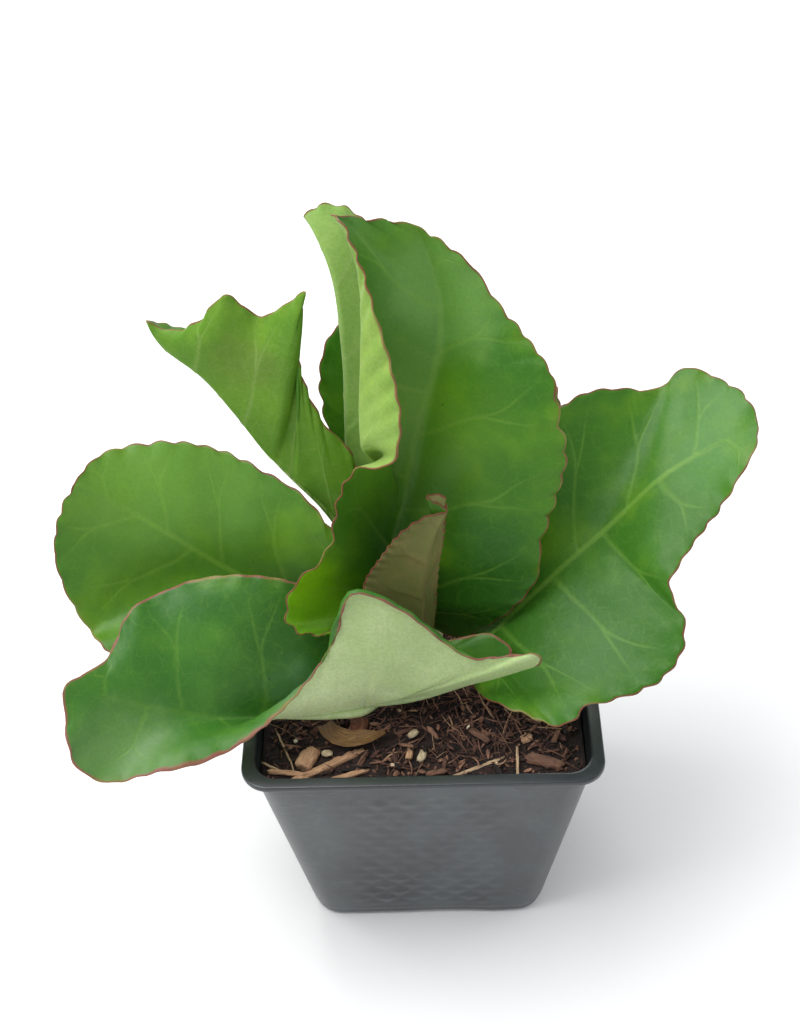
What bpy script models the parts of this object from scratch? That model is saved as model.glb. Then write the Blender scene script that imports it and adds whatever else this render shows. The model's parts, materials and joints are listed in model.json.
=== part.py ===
# Potted bergenia: a young plant with eight leathery leaves in a square nursery pot of bark potting mix.
# Metres, +Z up. The origin is the middle of the pot's underside, and +Y points to the back of the plant.

import math
import random

import bmesh
import bpy
import numpy as np
from mathutils import Matrix, Vector

MM = 0.001
GAP = 0.3 * MM
WELD = 0.01 * MM

# Pot
RIM_HALF = 53.0 * MM
POT_HEIGHT = 90.0 * MM
LIP_HEIGHT = 1.9 * MM
NECK_HALF = 50.4 * MM
FOOT_HALF = 37.7 * MM
RIM_CORNER = 8.4 * MM
FOOT_CORNER = 9.0 * MM
WALL = 1.3 * MM
FLOOR = 1.6 * MM
FOOT_ROUND = 1.2 * MM
DIAMOND_HALF = 4.5 * MM
DIAMOND_COLUMNS = 6
DIAMOND_ROWS = 16
DIAMOND_START = 8.0 * MM
DIAMOND_RISE = 0.55 * MM
STEP_DROP = 5.4 * MM
STEP_OUT = 0.9 * MM
STEP_REACH = 15.0 * MM
CORNER_STEPS = 4
DRAIN_RADIUS = 4.0 * MM
DRAIN_PLACE = 21.0 * MM
DRAIN_SIDES = 12
ARCH_HEIGHT = 0.8 * MM
ARCH_HALF = 20.0 * MM
ARCH_DEPTH = 6.0 * MM
ARCH_SIDES = 160
RELIEF_FADE_ROWS = 2.0
RELIEF_FADE_SPAN = 2.5 * DIAMOND_HALF
STEP_RAMP = 0.3 * MM
STEP_FADE = 0.25 * STEP_REACH
LIP_RAMP = 0.2 * MM
LIP_EDGE = 0.45 * MM
HEEL_RISE = 3.0 * MM
HEEL_INSET = 2.0 * MM

# Potting mix
SOIL_TOP = 84.0 * MM
SOIL_RINGS = 6
SOIL_COLUMNS = 3
SOIL_RELIEF = 0.5 * MM
SOIL_WAVES = (190.0, 230.0, 410.0)
SOIL_EDGE = 1.5 * MM
CHIP_COUNT = 56
CHIP_SPACING = 6.0 * MM
CHIP_LENGTH = (5.0 * MM, 11.0 * MM)
CHIP_WIDTH = (2.2 * MM, 4.2 * MM)
CHIP_THICK = (1.4 * MM, 2.4 * MM)
CHIP_TILT = 0.32
CHIP_SINK = 0.25 * MM
CHIP_FIELD = 42.0 * MM
CHIP_SEED = 41

# Crown
CROWN_AT = Vector((-1.0, -7.0, 0.0)) * MM
CROWN_RADIUS = 7.0 * MM
CROWN_BOTTOM = 62.0 * MM
CROWN_TOP = 95.0 * MM
CROWN_RINGS = 7
CROWN_SIDES = 16
CROWN_CLEAR = 13.0 * MM
CROWN_SHOULDER = 0.6 * MM
CROWN_SWELL = (-0.25 * MM, 0.35 * MM)
CROWN_TAPER = 0.35

# Leaves
BLADE_THICK = 0.8 * MM
BLADE_ROWS = 22
BLADE_COLUMNS = 3
SCALLOP = 0.7 * MM
SCALLOP_FROM = 0.12
RIB_REACH = 0.86
RIB_STEPS = 6
STALK_RADIUS = 2.3 * MM
RIB_RADIUS = 0.75 * MM
FINE_STEPS = 240

# Midribs run from the top of the stalk to the tip. Margins run the same way on each side, seen from the upper
# face: x, y, z and the bow of the vein that ends there, all in millimetres. The bow is towards the upper face.
# The fan is the share of the margin whose veins all leave from the top of the stalk.
LEAVES = {
    "leaf_tall": {
        "fan": 0.32,
        "stalk": [(-1, -7, 88), (-1.5, -6, 99)],
        "midrib": [(-3, -2, 110), (-7, 2, 120), (-8, 6, 128), (-4, 12, 142), (1, 19, 161), (8, 27, 185),
                   (8, 34, 199), (2, 39, 219)],
        "left": [(-3, -2, 110, 0), (-16, -9, 119, -1), (-31, -22, 120, -2), (-38, -22, 126, -3),
                 (-36, -18, 136, -4), (-26, -12, 145, -5), (-22, -7, 159, -8), (-16, -8, 172, -12),
                 (-6, -12, 177, -18), (-3, -10, 189, -24), (-5, -2, 201, -26), (-11, 10, 220, -18),
                 (-17, 23, 231, -8), (-20, 30, 229, -2), (-14, 35, 225, 0), (2, 39, 219, 0)],
        "right": [(-3, -2, 110, 0), (11, -3, 98, 0), (18, -5, 103, 0), (28, -8, 115, 1), (35, -6, 126, 3),
                  (36, -4, 137, 5), (40, 0, 151, 8), (43, 4, 165, 8), (41, 8, 175, 8), (39, 14, 185, 7),
                  (32, 22, 193, 5), (24, 28, 201, 3), (16, 33, 211, 1), (2, 39, 219, 0)],
    },
    "leaf_right": {
        "fan": 0.3,
        "stalk": [(-1, -7, 88), (8, -6, 92)],
        "midrib": [(18, -6, 97), (28, -4, 109), (42, 2, 121), (58, 9, 133), (70, 14, 144), (81, 18, 150),
                   (100, 23, 158)],
        "left": [(18, -6, 97, 0), (16, 6, 104, -2), (26, 18, 124, -3), (36, 26, 144, -3), (43, 34, 157, -3),
                 (53, 38, 160, -3), (63, 40, 159, -3), (73, 41, 158, -2), (81, 44, 163, -1), (91, 38, 163, -1),
                 (98, 30, 162, 0), (100, 23, 158, 0)],
        "right": [(18, -6, 97, 0), (16, -22, 96, 2), (23, -34, 102, 3), (31, -39, 103, 3), (38, -43, 103, 3),
                  (44, -43, 106, 3), (46, -40, 107, 3), (58, -38, 109, 3), (68, -35, 112, 3), (75, -29, 118, 3),
                  (76, -22, 124, 3), (72, -16, 131, 2), (78, -8, 138, 2), (87, 0, 146, 1), (93, 8, 150, 0),
                  (99, 17, 155, 0), (100, 23, 158, 0)],
    },
    "leaf_left": {
        "fan": 0.3,
        "stalk": [(-1, -7, 88), (-9, -8, 92)],
        "midrib": [(-16, -2, 98), (-34, 4, 108), (-55, 8, 117), (-74, 11, 131), (-85, 13, 139), (-100, 14, 150)],
        "left": [(-16, -2, 98, 0), (-30, -14, 96, -2), (-50, -20, 96, -3), (-70, -22, 99, -3),
                 (-85, -20, 106, -3), (-94, -14, 108, -3), (-100, -6, 108, -2), (-105, -2, 117, -1),
                 (-108, 4, 130, 0), (-105, 10, 143, 0), (-100, 14, 150, 0)],
        "right": [(-16, -2, 98, 0), (-13, 3, 112, 1), (-19, 4, 126, 2), (-25, 6, 136, 3), (-32, 11, 144, 4),
                  (-42, 18, 147, 4), (-56, 25, 151, 3), (-71, 27, 154, 2), (-85, 27, 153, 2), (-92, 24, 153, 1),
                  (-97, 19, 152, 0), (-100, 14, 150, 0)],
    },
    "leaf_front": {
        "fan": 0.45,
        "stalk": [(-1, -7, 87), (-7, -15, 89)],
        "midrib": [(-17, -25, 93), (-36, -30, 93), (-56, -33, 96), (-76, -34, 104), (-101, -37, 118)],
        "left": [(-17, -25, 93, 0), (6, -25, 98, -3), (24, -28, 110, -3), (35, -30, 116, -3), (33, -31, 121, -4),
                 (27, -29, 118, -5), (16, -28, 117, -7), (6, -27, 125, -8), (-5, -27, 138, -9),
                 (-17, -27, 145, -9), (-22, -28, 130, -8), (-28, -30, 119, -7), (-35, -34, 111, -6),
                 (-50, -42, 101, -5), (-69, -50, 98, -4), (-89, -55, 97, -3), (-97, -54, 102, -2),
                 (-100, -50, 108, -1), (-101, -42, 113, 0), (-101, -37, 118, 0)],
        "right": [(-17, -25, 93, 0), (4, -20, 98, 1), (27, -19, 108, 1), (21, -15, 112, 2), (9, -15, 110, 2),
                  (-4, -14, 108, 2), (-14, -13, 109, 3), (-24, -10, 117, 5), (-34, -6, 125, 6), (-49, -6, 130, 6),
                  (-64, -6, 129, 5), (-75, -8, 126, 4), (-84, -14, 125, 3), (-91, -26, 117, 1),
                  (-101, -37, 118, 0)],
    },
    "leaf_upper_left": {
        "fan": 0.2,
        "stalk": [(-1, -7, 88), (-8, 1, 94)],
        "midrib": [(-11, 9, 104), (-18, 12, 122), (-26, 14, 136), (-34, 15, 145), (-43, 17, 155), (-51, 21, 167),
                   (-60, 26, 178), (-71, 31, 186), (-75, 34, 193)],
        "left": [(-11, 9, 104, 0), (-11, 12, 125, -1), (-15, 14, 144, -2), (-19, 16, 159, -3), (-25, 17, 167, -3),
                 (-31, 20, 185, -3), (-31, 22, 199, -3), (-28, 22, 210, -3), (-36, 26, 202, -3),
                 (-42, 28, 198, -3), (-51, 29, 205, -3), (-59, 30, 196, -3), (-66, 32, 191, -2),
                 (-72, 34, 191, -1), (-75, 34, 193, 0)],
        "right": [(-11, 9, 104, 0), (-20, 20, 116, 0), (-32, 32, 136, 0), (-40, 42, 158, 0), (-39, 47, 180, 0),
                  (-48, 50, 180, 0), (-60, 48, 178, 0), (-72, 42, 186, 0), (-75, 34, 193, 0)],
    },
    "leaf_pale": {
        "fan": 0.2,
        "stalk": [(-1, -7, 90), (-1, 3, 98)],
        "midrib": [(-5, 10, 105), (-14, 15, 125), (-20, 20, 150), (-20, 30, 180), (-22, 40, 203), (-29, 49, 217)],
        "left": [(-5, 10, 105, 0), (4, 14, 120, -3), (10, 24, 145, -5), (12, 36, 170, -6), (7, 48, 190, -5),
                 (-2, 54, 202, -4), (-10, 54, 209, -3), (-18, 53, 217, -2), (-25, 51, 219, -1),
                 (-29, 49, 217, 0)],
        "right": [(-5, 10, 105, 0), (-6, 24, 120, 0), (-8, 45, 150, 0), (-12, 62, 175, 0), (-18, 66, 190, 0),
                  (-25, 60, 205, 0), (-29, 49, 217, 0)],
    },
    "leaf_back": {
        "fan": 0.25,
        "stalk": [(-1, -7, 87), (4, 1, 90)],
        "midrib": [(5, 12, 97), (6, 28, 122), (8, 46, 142), (9, 60, 154), (9, 74, 162)],
        "left": [(5, 12, 97, 0), (-10, 20, 106, -2), (-22, 34, 128, -3), (-29, 46, 157, -3), (-26, 53, 170, -3),
                 (-20, 62, 171, -3), (-8, 72, 169, -2), (9, 74, 162, 0)],
        "right": [(5, 12, 97, 0), (18, 16, 108, 2), (32, 26, 124, 3), (44, 40, 154, 3), (40, 54, 156, 3),
                  (28, 68, 160, 2), (9, 74, 162, 0)],
    },
    "leaf_young": {
        "fan": 0.2,
        "stalk": [(-1, -7, 89), (2, -10, 96)],
        "midrib": [(3, -10, 103), (2, -10, 112), (2, -10, 124), (4, -8, 140), (9, -5, 153)],
        "left": [(3, -10, 103, 0), (4, -8, 108, 0), (5, -6, 118, 0), (6, -5, 132, 0), (8, -4, 146, 0),
                 (8, -2, 156, 0), (3, -2, 156, 0), (9, -5, 153, 0)],
        "right": [(3, -10, 103, 0), (-6, -12, 108, 1), (-13, -12, 118, 2), (-16, -12, 130, 2),
                  (-10, -10, 141, 2), (-4, -9, 149, 2), (3, -7, 153, 1), (9, -5, 153, 0)],
    },
}
STALK_SCALE = {"leaf_young": 0.6, "leaf_tall": 0.9}

# Loose pieces on the mix: middle x and y, turn in degrees, length, width and thickness in millimetres
LOOSE = {
    "bark_chip": ((-19.3, -27.0), 80.0, (7.0, 5.5, 3.4)),
    "splinter_long": ((-28.5, -41.0), 29.0, (24.0, 2.6, 1.8)),
    "splinter_short": ((-24.0, -45.0), 18.0, (16.0, 1.8, 1.4)),
    "straw": ((15.5, -42.5), 24.0, (17.0, 1.2, 1.0)),
    "brown_chip": ((36.0, -41.0), -20.0, (11.0, 4.0, 2.0)),
}
LOOSE_SINK = 0.7 * MM
# Cross-sections as shares of the length, width and thickness, and the corners of one section
LOOSE_SECTIONS = ((-0.5, 0.45, 0.5), (-0.38, 0.9, 0.9), (0.1, 1.0, 1.0), (0.4, 0.8, 0.85), (0.5, 0.4, 0.45))
LOOSE_CORNERS = ((-0.5, 0.0), (0.5, 0.0), (0.42, 0.8), (0.0, 1.0), (-0.4, 0.85))
SEAT_HEIGHT = 12.0 * MM
DEAD_SHEATH_PATH = [(-11.0, -31.0, 87.4), (-16.5, -33.4, 88.0), (-23.5, -33.4, 87.6), (-29.5, -27.0, 86.6)]
DEAD_SHEATH_WIDTH = (0.9 * MM, 2.9 * MM, 3.3 * MM, 2.4 * MM)
DEAD_SHEATH_THICK = 0.9 * MM
DEAD_SHEATH_CUP = 1.1 * MM
DEAD_SHEATH_ROWS = 9
DEAD_SHEATH_SPAN = (-1.0, -0.5, 0.0, 0.5, 1.0)


def collection(name, hidden=False):
    made = bpy.data.collections.new(name)
    bpy.context.scene.collection.children.link(made)
    made.hide_render = hidden
    return made


def finish(name, colour, roughness):
    material = bpy.data.materials.new(name)
    material.use_nodes = True
    shader = material.node_tree.nodes["Principled BSDF"]
    shader.inputs["Base Color"].default_value = (*colour, 1.0)
    shader.inputs["Roughness"].default_value = roughness
    shader.inputs["Metallic"].default_value = 0.0
    return material


def piece(name, bm, place, material=None):
    mesh = bpy.data.meshes.new(name)
    bmesh.ops.recalc_face_normals(bm, faces=bm.faces)
    bm.to_mesh(mesh)
    bm.free()
    made = bpy.data.objects.new(name, mesh)
    place.objects.link(made)
    if material:
        mesh.materials.append(material)
    return made


def cutter(name, bm):
    made = piece(name, bm, CUTTERS)
    made.hide_render = True
    made.display_type = "WIRE"
    return made


def boolean(target, operation, other, solver="EXACT"):
    step = target.modifiers.new(operation.title(), "BOOLEAN")
    step.operation = operation
    step.solver = solver
    if isinstance(other, bpy.types.Collection):
        step.operand_type = "COLLECTION"
        step.collection = other
    else:
        step.object = other


def apply_modifiers(target):
    bpy.context.view_layer.update()
    seen = target.evaluated_get(bpy.context.evaluated_depsgraph_get())
    mesh = bpy.data.meshes.new_from_object(seen)
    old = target.data
    target.modifiers.clear()
    target.data = mesh
    bpy.data.meshes.remove(old)


def smooth_path(points, count):
    """Even points along a smooth curve through the given ones. Columns after the third follow along."""
    given = np.array(points, float)
    gaps = np.linalg.norm(np.diff(given[:, :3], axis=0), axis=1) ** 0.5
    knots = np.concatenate([[0.0], np.cumsum(gaps)])
    slopes = np.diff(given, axis=0) / gaps[:, None]
    tangents = np.empty_like(given)
    before, after = gaps[:-1, None], gaps[1:, None]
    tangents[1:-1] = (slopes[:-1] * after + slopes[1:] * before) / (before + after)
    tangents[0] = 2 * slopes[0] - tangents[1] if len(given) > 2 else slopes[0]
    tangents[-1] = 2 * slopes[-1] - tangents[-2] if len(given) > 2 else slopes[0]
    at = np.linspace(0.0, knots[-1], FINE_STEPS)
    span = np.clip(np.searchsorted(knots, at, side="right") - 1, 0, len(given) - 2)
    width = gaps[span][:, None]
    u = (at - knots[span])[:, None] / width
    fine = (
        (2 * u**3 - 3 * u**2 + 1) * given[span]
        + (u**3 - 2 * u**2 + u) * width * tangents[span]
        + (3 * u**2 - 2 * u**3) * given[span + 1]
        + (u**3 - u**2) * width * tangents[span + 1]
    )
    run = np.concatenate([[0.0], np.cumsum(np.linalg.norm(np.diff(fine[:, :3], axis=0), axis=1))])
    wanted = np.linspace(0.0, run[-1], count)
    return np.stack([np.interp(wanted, run, fine[:, axis]) for axis in range(fine.shape[1])], axis=1)


def blade_side(leaf, hand, rows, columns):
    """Rows of points from the midrib to the margin, one row for each vein, in metres."""
    midrib = smooth_path(leaf["midrib"], FINE_STEPS) * MM
    margin = smooth_path(leaf[hand], rows + 1) * MM
    edge, bow = margin[:, :3], margin[:, 3:]
    share = np.linspace(0.0, 1.0, rows + 1)
    foot_at = np.clip((share - leaf["fan"]) / (1.0 - leaf["fan"]), 0.0, 1.0)
    steps = np.linspace(0.0, 1.0, FINE_STEPS)
    foot = np.stack([np.interp(foot_at, steps, midrib[:, axis]) for axis in range(3)], axis=1)
    upper = np.cross(edge - foot, np.gradient(edge, axis=0)) * (-1.0 if hand == "left" else 1.0)
    upper /= np.maximum(np.linalg.norm(upper, axis=1, keepdims=True), 1e-9)
    middle = (foot + edge) / 2 + bow * upper
    outward = (edge - foot) / np.maximum(np.linalg.norm(edge - foot, axis=1, keepdims=True), 1e-9)
    tooth = np.where((np.arange(rows + 1) % 2 == 0) & (share > SCALLOP_FROM) & (share < 1.0), SCALLOP, 0.0)
    edge = edge - outward * tooth[:, None]
    v = np.linspace(0.0, 1.0, columns + 1)[None, :, None]
    return (1 - v) ** 2 * foot[:, None] + 2 * v * (1 - v) * middle[:, None] + v**2 * edge[:, None]


def blade(leaf):
    """The open leaf surface, both halves sharing the midrib, split into triangles."""
    bm = bmesh.new()
    for hand in ("left", "right"):
        rows = blade_side(leaf, hand, BLADE_ROWS, BLADE_COLUMNS)
        grid = [[bm.verts.new(point) for point in row] for row in rows]
        for near, far in zip(grid, grid[1:]):
            for i in range(BLADE_COLUMNS):
                quad = [near[i], far[i], far[i + 1], near[i + 1]]
                bm.faces.new(quad if hand == "left" else quad[::-1])
    bmesh.ops.triangulate(bm, faces=bm.faces, quad_method="FIXED")
    bmesh.ops.remove_doubles(bm, verts=bm.verts, dist=WELD)
    loose = [face for face in bm.faces if face.calc_area() < 1e-10]
    bmesh.ops.delete(bm, geom=loose, context="FACES")
    return bm


def stalk_and_rib(name, leaf):
    """A tapering tube from inside the crown up the stalk and along the underside of the midrib."""
    midrib = smooth_path(leaf["midrib"], FINE_STEPS)
    ribbed = midrib[: int(FINE_STEPS * RIB_REACH)]
    path = smooth_path([*leaf["stalk"], *ribbed[:: FINE_STEPS // 8]], 2 * RIB_STEPS + 1) * MM
    scale = STALK_SCALE.get(name, 1.0)
    joint = leaf["stalk"] + [leaf["midrib"][0]]
    stalk_length = sum(math.dist(a, b) for a, b in zip(joint, joint[1:])) * MM
    curve = bpy.data.curves.new(name + "_rib", "CURVE")
    curve.dimensions = "3D"
    curve.bevel_depth = 1.0
    curve.bevel_resolution = 1
    curve.use_fill_caps = True
    spline = curve.splines.new("POLY")
    spline.points.add(len(path) - 1)
    run = 0.0
    total = float(np.linalg.norm(np.diff(path, axis=0), axis=1).sum())
    for index, (point, place) in enumerate(zip(spline.points, path)):
        if index:
            run += float(np.linalg.norm(place - path[index - 1]))
        along = max(0.0, (run - stalk_length) / max(total - stalk_length, 1e-6))
        point.co = (*place, 1.0)
        point.radius = scale * (RIB_RADIUS + (STALK_RADIUS - RIB_RADIUS) * max(0.0, 1.0 - along) ** 1.6)
    made = bpy.data.objects.new(name + "_rib", curve)
    CUTTERS.objects.link(made)
    bpy.context.view_layer.update()
    mesh = bpy.data.meshes.new_from_object(made.evaluated_get(bpy.context.evaluated_depsgraph_get()))
    bm = bmesh.new()
    bm.from_mesh(mesh)
    bmesh.ops.remove_doubles(bm, verts=bm.verts, dist=WELD)
    bpy.data.objects.remove(made)
    bpy.data.meshes.remove(mesh)
    return cutter(name + "_rib", bm)


def build_leaf(name, leaf, material, crown_cut):
    made = piece(name, blade(leaf), PLANT, material)
    shell = made.modifiers.new("Thickness", "SOLIDIFY")
    shell.thickness = BLADE_THICK
    shell.offset = 0.0
    boolean(made, "UNION", stalk_and_rib(name, leaf), "MANIFOLD")
    boolean(made, "DIFFERENCE", crown_cut, "MANIFOLD")
    return made


def crown_profile(spare):
    """Radius and height pairs down the outer side of the crown, with the scars of old leaves as rings."""
    top = CROWN_TOP + spare
    bottom = CROWN_BOTTOM - spare
    pairs = [(0.0, top), (CROWN_RADIUS / 2 + spare, top - CROWN_SHOULDER)]
    for ring in range(CROWN_RINGS):
        share = (ring + 1) / (CROWN_RINGS + 1)
        taper = CROWN_RADIUS * (1.0 - CROWN_TAPER * share**3)
        pairs.append((taper + CROWN_SWELL[ring % 2] + spare, top + (bottom - top) * share))
    pairs += [(CROWN_RADIUS / 2 + spare, bottom), (0.0, bottom)]
    return pairs


def turned(name, pairs, place, material=None):
    bm = bmesh.new()
    verts = [bm.verts.new((radius, 0.0, height)) for radius, height in pairs]
    for a, b in zip(verts, verts[1:]):
        bm.edges.new((a, b))
    mesh = bpy.data.meshes.new(name)
    bm.to_mesh(mesh)
    bm.free()
    made = bpy.data.objects.new(name, mesh)
    place.objects.link(made)
    made.location = CROWN_AT
    screw = made.modifiers.new("Turn", "SCREW")
    screw.steps = CROWN_SIDES
    screw.render_steps = CROWN_SIDES
    screw.use_merge_vertices = True
    screw.merge_threshold = WELD
    if material:
        mesh.materials.append(material)
    return made


def wall_half(height):
    """Half the outer width of the wall at a height."""
    share = height / (POT_HEIGHT - LIP_HEIGHT)
    return FOOT_HALF + (NECK_HALF - FOOT_HALF) * share


def corner_radius(height):
    return FOOT_CORNER + (RIM_CORNER - FOOT_CORNER) * height / POT_HEIGHT


def ring(half, corner, columns=DIAMOND_COLUMNS):
    """Points round a square with round corners, each with its column, its place along the side and its way out."""
    straight = half - corner
    pitch = min(DIAMOND_HALF * DIAMOND_COLUMNS, straight - GAP) / columns
    points = []
    for side in range(4):
        turn = Matrix.Rotation(side * math.pi / 2, 3, "Z")
        for column in range(-columns, columns + 1):
            along = column * pitch
            points.append((turn @ Vector((half, along, 0.0)), column, along, turn @ Vector((1.0, 0.0, 0.0))))
        for step in range(CORNER_STEPS + 1):
            angle = math.pi / 2 * step / CORNER_STEPS
            out = Vector((math.cos(angle), math.sin(angle), 0.0))
            centre = Vector((straight, straight, 0.0))
            points.append((turn @ (centre + out * corner), None, straight, turn @ out))
    return points


def fade(distance, reach):
    return max(0.0, min(1.0, distance / reach))


def outer_ring(bm, height, half, corner, row=None, corner_step=0.0):
    verts = []
    straight = half - corner
    for place, column, along, out in ring(half, corner):
        rise = 0.0
        if row is not None and column is not None and (row + column) % 2 == 0:
            middle = fade(min(row, DIAMOND_ROWS - row), RELIEF_FADE_ROWS)
            rise = DIAMOND_RISE * middle * fade(straight - abs(along), RELIEF_FADE_SPAN)
        if corner_step:
            rise += corner_step * fade(abs(along) - (straight - STEP_REACH), STEP_FADE)
        verts.append(bm.verts.new(place + out * rise + Vector((0.0, 0.0, height))))
    return verts


def bridge(bm, lower, upper, row=None):
    """Triangles between two rings. On the quilted rows each quad is split along the edge of a diamond."""
    count = len(lower)
    per_side = count // 4
    for i in range(count):
        j = (i + 1) % count
        column = i % per_side - DIAMOND_COLUMNS
        if row is not None and (row + column) % 2 == 0:
            bm.faces.new((lower[i], lower[j], upper[i]))
            bm.faces.new((lower[j], upper[j], upper[i]))
        else:
            bm.faces.new((lower[i], lower[j], upper[j]))
            bm.faces.new((lower[i], upper[j], upper[i]))


def build_pot(material):
    bm = bmesh.new()
    lip_bottom = POT_HEIGHT - LIP_HEIGHT
    step_at = lip_bottom - STEP_DROP
    rings = []
    rings.append((outer_ring(bm, 0.0, FOOT_HALF - FOOT_ROUND, FOOT_CORNER), None))
    rings.append((outer_ring(bm, FOOT_ROUND, wall_half(FOOT_ROUND), corner_radius(FOOT_ROUND)), None))
    for row in range(DIAMOND_ROWS + 1):
        height = DIAMOND_START + row * DIAMOND_HALF
        rings.append((outer_ring(bm, height, wall_half(height), corner_radius(height), row), row))
    for height, step in ((step_at, 0.0), (step_at + STEP_RAMP, STEP_OUT), (lip_bottom, STEP_OUT)):
        rings.append((outer_ring(bm, height, wall_half(height), corner_radius(height), None, step), None))
    rings.append((outer_ring(bm, lip_bottom + LIP_RAMP, RIM_HALF, RIM_CORNER), None))
    rings.append((outer_ring(bm, POT_HEIGHT - LIP_EDGE, RIM_HALF, RIM_CORNER), None))
    rings.append((outer_ring(bm, POT_HEIGHT, RIM_HALF - LIP_EDGE, RIM_CORNER), None))
    rings.append((outer_ring(bm, POT_HEIGHT, NECK_HALF - WALL, RIM_CORNER - WALL), None))
    for height in (SOIL_TOP, FLOOR + HEEL_RISE):
        rings.append((outer_ring(bm, height, wall_half(height) - WALL, corner_radius(height) - WALL), None))
    rings.append((outer_ring(bm, FLOOR, FOOT_HALF - WALL - HEEL_INSET, FOOT_CORNER - WALL), None))
    for (lower, row), (upper, _) in zip(rings, rings[1:]):
        bridge(bm, lower, upper, row if row is not None and row < DIAMOND_ROWS else None)
    for edge_ring in (rings[0][0], rings[-1][0]):
        bm.faces.new(edge_ring)
    bmesh.ops.remove_doubles(bm, verts=bm.verts, dist=WELD)
    pot = piece("pot", bm, PLANT, material)
    boolean(pot, "DIFFERENCE", drain_cutter())
    return pot


def drain_cutter():
    """Four drainage holes and the low arches under the middle of each side."""
    bm = bmesh.new()
    for x in (-DRAIN_PLACE, DRAIN_PLACE):
        for y in (-DRAIN_PLACE, DRAIN_PLACE):
            bmesh.ops.create_cone(
                bm, cap_ends=True, segments=DRAIN_SIDES, radius1=DRAIN_RADIUS, radius2=DRAIN_RADIUS,
                depth=4 * FLOOR, matrix=Matrix.Translation((x, y, 0.0)))
    arch_radius = (ARCH_HALF**2 + ARCH_HEIGHT**2) / (2 * ARCH_HEIGHT)
    for side in range(4):
        turn = Matrix.Rotation(side * math.pi / 2, 4, "Z")
        place = Matrix.Translation((FOOT_HALF, 0.0, ARCH_HEIGHT - arch_radius))
        roll = Matrix.Rotation(math.pi / 2, 4, "Y")
        bmesh.ops.create_cone(
            bm, cap_ends=True, segments=ARCH_SIDES, radius1=arch_radius, radius2=arch_radius,
            depth=2 * ARCH_DEPTH, matrix=turn @ place @ roll)
    return cutter("drains_and_arches", bm)


def soil_height(x, y):
    """Height of the uneven top of the mix. Nowhere further from SOIL_TOP than SOIL_RELIEF."""
    wave = math.sin(x * SOIL_WAVES[0]) * math.cos(y * SOIL_WAVES[1]) + math.sin((x + y) * SOIL_WAVES[2])
    return SOIL_TOP + SOIL_RELIEF * wave / 2


def build_soil(material):
    """The mix fills the pot from its floor to SOIL_TOP, with bark chips fused into its top."""
    bm = bmesh.new()
    levels = []
    floor = FLOOR + GAP
    for height in (floor, FLOOR + HEEL_RISE + GAP, SOIL_TOP - SOIL_EDGE):
        low = height == floor
        half = FOOT_HALF - WALL - HEEL_INSET if low else wall_half(height) - WALL
        corner = corner_radius(height) - WALL
        outline = ring(half - 2 * GAP, corner, SOIL_COLUMNS)
        levels.append([bm.verts.new(point + Vector((0.0, 0.0, height))) for point, *_ in outline])
    top_half = wall_half(SOIL_TOP) - WALL - 2 * GAP
    for index in range(SOIL_RINGS):
        share = 1.0 - index / SOIL_RINGS
        row = []
        for place, *_ in ring(top_half, corner_radius(SOIL_TOP) - WALL, SOIL_COLUMNS):
            x, y = place.x * share, place.y * share
            row.append(bm.verts.new((x, y, soil_height(x, y))))
        levels.append(row)
    for lower, upper in zip(levels, levels[1:]):
        bridge(bm, lower, upper)
    bm.faces.new(levels[0])
    middle = bm.verts.new((0.0, 0.0, soil_height(0.0, 0.0)))
    last = levels[-1]
    for i, vert in enumerate(last):
        bm.faces.new((vert, last[(i + 1) % len(last)], middle))
    bmesh.ops.remove_doubles(bm, verts=bm.verts, dist=WELD)
    soil = piece("soil", bm, PLANT, material)
    chips = scatter_chips()
    boolean(soil, "UNION", chips)
    apply_modifiers(soil)
    for chip in list(chips.objects):
        bpy.data.objects.remove(chip)
    bpy.data.collections.remove(chips)
    return soil


def scatter_chips():
    """Bark chips at random places and turns, half sunk in the surface and clear of the crown."""
    draw = random.Random(CHIP_SEED)
    chips = collection("chips", hidden=True)
    placed = []
    while len(placed) < CHIP_COUNT:
        x, y = (draw.uniform(-CHIP_FIELD, CHIP_FIELD) for _ in range(2))
        size = [draw.uniform(*span) for span in (CHIP_LENGTH, CHIP_WIDTH, CHIP_THICK)]
        turn = draw.uniform(0.0, math.pi)
        tilt = [draw.uniform(-CHIP_TILT, CHIP_TILT) for _ in range(2)]
        clear_of_crown = math.hypot(x - CROWN_AT.x, y - CROWN_AT.y) > CROWN_CLEAR
        if not clear_of_crown or any(math.hypot(x - a, y - b) < CHIP_SPACING for a, b in placed):
            continue
        placed.append((x, y))
        bm = bmesh.new()
        bmesh.ops.create_cube(bm, size=1.0)
        shape = Matrix.Diagonal((*size, 1.0))
        lean = Matrix.Rotation(tilt[0], 4, "X") @ Matrix.Rotation(tilt[1], 4, "Y")
        place = Matrix.Translation((x, y, SOIL_TOP + CHIP_SINK)) @ Matrix.Rotation(turn, 4, "Z") @ lean @ shape
        bmesh.ops.transform(bm, matrix=place, verts=bm.verts)
        chip = piece(f"chip_{len(placed)}", bm, chips)
        chip.hide_render = True
        chip.display_type = "WIRE"
    return chips


def seat_cutter(name, x, y, turn, length, width, bottom):
    """Flat-bottomed seat for a loose piece, open upwards."""
    bm = bmesh.new()
    bmesh.ops.create_cube(bm, size=1.0)
    shape = Matrix.Diagonal((length, width, SEAT_HEIGHT, 1.0))
    place = Matrix.Translation((x, y, bottom + SEAT_HEIGHT / 2)) @ Matrix.Rotation(turn, 4, "Z") @ shape
    bmesh.ops.transform(bm, matrix=place, verts=bm.verts)
    return cutter(name + "_seat", bm)


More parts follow.
